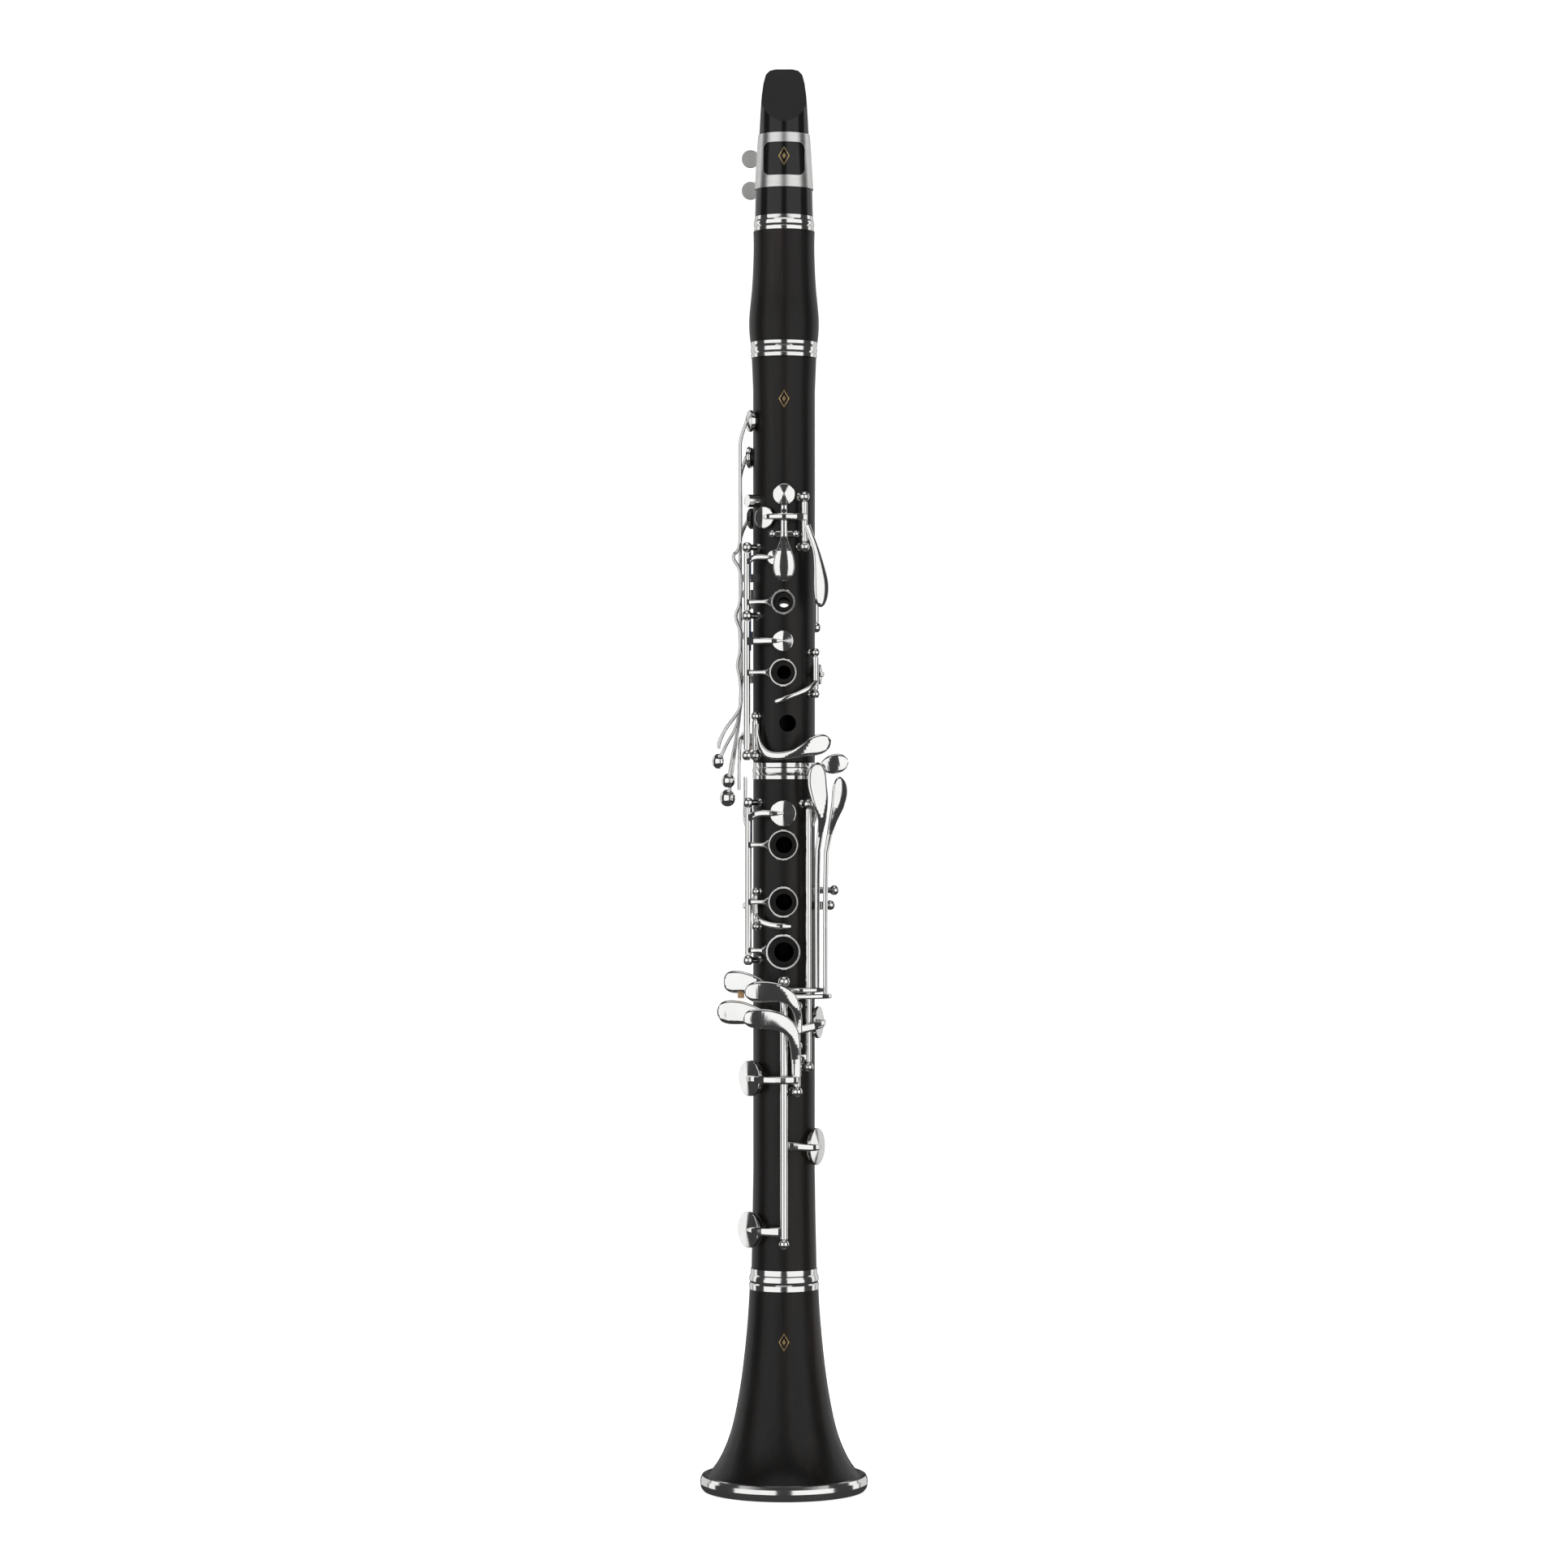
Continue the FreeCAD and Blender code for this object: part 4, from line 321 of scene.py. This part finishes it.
def new_piece(name, verts, faces, material):
    """A smooth-shaded mesh object from plain lists."""
    mesh = bpy.data.meshes.new(name)
    mesh.from_pydata([tuple(v) for v in verts], [], faces)
    mesh.validate()
    mesh.materials.append(material)
    for polygon in mesh.polygons:
        polygon.use_smooth = True
    piece = bpy.data.objects.new(name, mesh)
    bpy.context.scene.collection.objects.link(piece)
    return piece


def lathe(profile, steps):
    """A profile of (radius, height) turned about Z."""
    verts = []
    faces = []
    rows = len(profile)
    for k in range(steps):
        turn = 2 * math.pi * k / steps
        for r, h in profile:
            verts.append((r * math.cos(turn), r * math.sin(turn), h))
    for k in range(steps):
        n = (k + 1) % steps
        for i in range(rows - 1):
            faces.append((k * rows + i, n * rows + i, n * rows + i + 1, k * rows + i + 1))
    return verts, faces


def disc_frame(node):
    """Centre, outward axis, radius and thickness of a disc-shaped CAD node."""
    points = np.array([v.co for v in node.data.vertices])
    low, high = points.min(axis=0), points.max(axis=0)
    centre = (low + high) / 2
    spread = np.cov((points - points.mean(axis=0)).T)
    axis = Vector(np.linalg.eigh(spread)[1][:, 0])
    if axis.dot(Vector((centre[0], centre[1], 0))) < 0:
        axis.negate()
    offsets = points - centre
    heights = offsets @ np.array(axis)
    reach = np.linalg.norm(offsets - np.outer(heights, np.array(axis)), axis=1)
    return Vector(centre), axis, float(reach.max()), float(heights.max() - heights.min())


def make_pads():
    """Skin-covered pads: a flat seat with a pressed ring, and a rolled edge."""
    for name, node in NODES.items():
        if not name.endswith("_pad"):
            continue
        centre, axis, radius, thick = disc_frame(node)
        half = thick / 2
        edge = min(PAD_EDGE, half * 0.5)
        profile = [
            (TIP, -half),
            (radius * 0.35, -half),
            (radius * 0.62, -half + 0.1 * PAD_DENT),
            (radius * 0.72, -half + 0.9 * PAD_DENT),
            (radius * 0.80, -half + PAD_DENT),
            (radius - edge * 1.6, -half + 0.02 * MM),
            (radius - edge * 0.7, -half + edge * 0.35),
            (radius - 0.02 * MM, -half + edge * 1.3),
            (radius - 0.02 * MM, half - edge),
            (radius - edge, half - 0.01 * MM),
            (TIP, half - 0.01 * MM),
        ]
        verts, faces = lathe(profile, 72)
        turn = axis.to_track_quat("Z", "Y")
        verts = [centre + turn @ Vector(v) for v in verts]
        piece = new_piece(name + "_skin", verts, faces, MATERIALS["pad_skin"])
        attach(piece, body_of(name))
        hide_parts(name)


def sleeve_profile(inner, outer, low, high):
    """The closed outline of a cork sleeve with turned grooves and soft corners."""
    foot = low + CORK_INSET
    top = high - CORK_INSET
    profile = [(inner, foot), (outer - CORK_SOFT, foot), (outer, low + CORK_SOFT)]
    for k in range(1, CORK_GROOVES):
        z = low + (high - low) * k / CORK_GROOVES
        profile += [
            (outer, z - GROOVE_REACH),
            (outer - GROOVE_DEPTH, z),
            (outer, z + GROOVE_REACH),
        ]
    profile += [(outer, high - CORK_SOFT), (outer - CORK_SOFT, top), (inner, top)]
    return profile + [profile[0]]


def make_corks():
    """The cork sleeves of the tenons; one node can hold a sleeve at each end of a joint."""
    for name in ("mouthpiece_cork", "upper_joint_corks", "lower_tenon_cork"):
        points = np.array([v.co for v in NODES[name].data.vertices])
        levels = np.unique(np.round(points[:, 2], 5))
        gaps = np.where(np.diff(levels) > 0.05)[0]
        groups = np.split(levels, gaps + 1)
        verts = []
        faces = []
        for group in groups:
            low, high = float(group.min()), float(group.max())
            near = points[(points[:, 2] >= low - 1e-5) & (points[:, 2] <= high + 1e-5)]
            reach = np.hypot(near[:, 0], near[:, 1])
            outer, inner = float(reach.max()), float(reach.min())
            more_verts, more_faces = lathe(sleeve_profile(inner, outer, low, high), 96)
            start = len(verts)
            verts += more_verts
            faces += [tuple(i + start for i in face) for face in more_faces]
        piece = new_piece(name + "_sleeve", verts, faces, MATERIALS["cork"])
        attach(piece, body_of(name))
        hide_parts(name)


def front_of(node):
    """A function that drops a point from the front onto a CAD node."""
    tree = BVHTree.FromObject(node, bpy.context.evaluated_depsgraph_get())

    def drop(x, z):
        hit = tree.ray_cast(Vector((x, -1, z)), Vector((0, 1, 0)))
        return hit[0] + hit[1] * EMBLEM_LIFT

    return drop


def make_emblem(name, node_name, z, size, material):
    """A plain gold lozenge with a dot, inlaid in the front."""
    drop = front_of(NODES[node_name])
    verts = []
    faces = []
    steps = 12
    corners = [(0, 1.35), (0.8, 0), (0, -1.35), (-0.8, 0)]
    for outer, inner in ((1.0, 0.84), (0.34, 0.0)):
        loop = []
        for k in range(4):
            (x0, z0), (x1, z1) = corners[k], corners[(k + 1) % 4]
            for s in range(steps):
                t = s / steps
                loop.append((x0 + (x1 - x0) * t, z0 + (z1 - z0) * t))
        start = len(verts)
        for x, dz in loop:
            verts.append(drop(x * outer * size, z + dz * outer * size))
            verts.append(drop(x * inner * size, z + dz * inner * size))
        n = len(loop)
        for i in range(n):
            j = (i + 1) % n
            faces.append((start + 2 * i, start + 2 * j, start + 2 * j + 1, start + 2 * i + 1))
    piece = new_piece(name, verts, faces, material)
    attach(piece, body_of(node_name))


def make_emblems():
    gold = silver("gold_leaf", (0.72, 0.50, 0.22), 0.25, 0.4, 0.1)
    for name, (node_name, share, size) in EMBLEMS.items():
        make_emblem(name, node_name, share * HEIGHT, size, gold)


def make_bumper():
    """The cork bumper glued under the F-sharp touch."""
    low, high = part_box("f_sharp_key")
    x = low.x + BUMPER_FROM_LEFT
    y = low.y + BUMPER_FROM_FRONT
    top = high.z - BUMPER_FROM_TOP
    sides = 24
    verts = []
    for z, grow in ((top, 1.0), (top - 2.9 * MM, 1.0), (top - BUMPER_LENGTH, 0.86)):
        for k in range(sides):
            turn = 2 * math.pi * k / sides
            c, s = math.cos(turn), math.sin(turn)
            reach = BUMPER_HALF * grow / max(abs(c), abs(s)) ** 0.8
            verts.append((x + reach * c, y + reach * s, z))
    faces = []
    for row in (0, sides):
        for k in range(sides):
            n = (k + 1) % sides
            faces.append((row + k, row + n, row + sides + n, row + sides + k))
    faces.append(tuple(range(sides - 1, -1, -1)))
    faces.append(tuple(range(2 * sides, 3 * sides)))
    piece = new_piece("pinky_key_bumper", verts, faces, MATERIALS["cork"])
    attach(piece, "f_sharp_key")


# Stage, light and camera

def make_floor():
    """A pale floor that sweeps up into the backdrop."""
    side = 9.0
    level = LOW.z - 0.2 * MM
    back = 2.0
    bend = 1.6
    steps = 16
    wall = 7.0
    profile = [(-side, level), (back, level)]
    for k in range(1, steps + 1):
        turn = math.pi / 2 * k / steps
        profile.append((back + bend * math.sin(turn), level + bend * (1 - math.cos(turn))))
    profile.append((back + bend, level + wall))
    verts = [(x, y, z) for y, z in profile for x in (-side, side)]
    faces = [(2 * i, 2 * i + 1, 2 * i + 3, 2 * i + 2) for i in range(len(profile) - 1)]
    g = Graph("floor_white").set(Roughness=0.85, Emission_Strength=0.78)
    cloud = g.noise(3, detail=2)
    tone = g.ramp(cloud, "Fac", [(0.3, (0.93, 0.93, 0.93)), (0.7, (0.95, 0.95, 0.95))])
    g.join(tone, "Color", g.shader, "Base Color")
    g.join(tone, "Color", g.shader, "Emission Color")
    floor = new_piece("floor", verts, faces, g.material)
    floor.visible_glossy = False


def softbox(name, place, aim, width, height, radiance):
    """A rectangular soft light that faces a point."""
    data = bpy.data.lights.new(name, "AREA")
    data.shape = "RECTANGLE"
    data.size = width
    data.size_y = height
    data.energy = radiance * math.pi * width * height
    light = bpy.data.objects.new(name, data)
    bpy.context.scene.collection.objects.link(light)
    light.location = place
    light.rotation_euler = (Vector(aim) - Vector(place)).to_track_quat("-Z", "Y").to_euler()


def make_lights():
    """Two broad soft panels either side of the camera, with a dark gap between them."""
    middle = (0, 0, HEIGHT / 2)
    turn = math.radians(41)
    reach = 2.05
    for side, name in ((-1, "left"), (1, "right")):
        place = (side * reach * math.sin(turn), -reach * math.cos(turn), 0.40)
        softbox(name + "_panel", place, middle, 2.4, 2.4, 0.95)
        softbox(name + "_rim", (side * 1.5, 0.75, 0.5), middle, 0.5, 1.6, 0.9)
        softbox(name + "_back", (side * 0.95, 1.35, 0.5), middle, 1.0, 1.6, 0.6)
    softbox("top_panel", (0, -0.3, 2.0), middle, 1.4, 1.4, 0.8)
    world = bpy.data.worlds.new("studio")
    bpy.context.scene.world = world
    world.use_nodes = True
    tree = world.node_tree
    tree.nodes.clear()
    output = tree.nodes.new("ShaderNodeOutputWorld")
    mix = tree.nodes.new("ShaderNodeMixShader")
    seen = tree.nodes.new("ShaderNodeBackground")
    seen.inputs["Color"].default_value = (1, 1, 1, 1)
    seen.inputs["Strength"].default_value = 0.98
    fill = tree.nodes.new("ShaderNodeBackground")
    fill.inputs["Color"].default_value = (1, 1, 1, 1)
    fill.inputs["Strength"].default_value = 0.045
    path = tree.nodes.new("ShaderNodeLightPath")
    tree.links.new(path.outputs["Is Camera Ray"], mix.inputs["Fac"])
    tree.links.new(fill.outputs["Background"], mix.inputs[1])
    tree.links.new(seen.outputs["Background"], mix.inputs[2])
    tree.links.new(mix.outputs["Shader"], output.inputs["Surface"])


def make_camera():
    """Level with the middle of the instrument, square to its front."""
    data = bpy.data.cameras.new("camera")
    data.lens = 100
    data.sensor_width = 36
    data.clip_end = 60
    camera = bpy.data.objects.new("camera", data)
    bpy.context.scene.collection.objects.link(camera)
    camera.location = (0, -2.0, HEIGHT * 0.4955)
    camera.rotation_euler = (math.pi / 2, 0, 0)
    bpy.context.scene.camera = camera


dress_cad()
make_pads()
make_corks()
make_emblems()
make_bumper()
make_floor()
make_lights()
make_camera()
bpy.context.scene.view_settings.view_transform = "Standard"
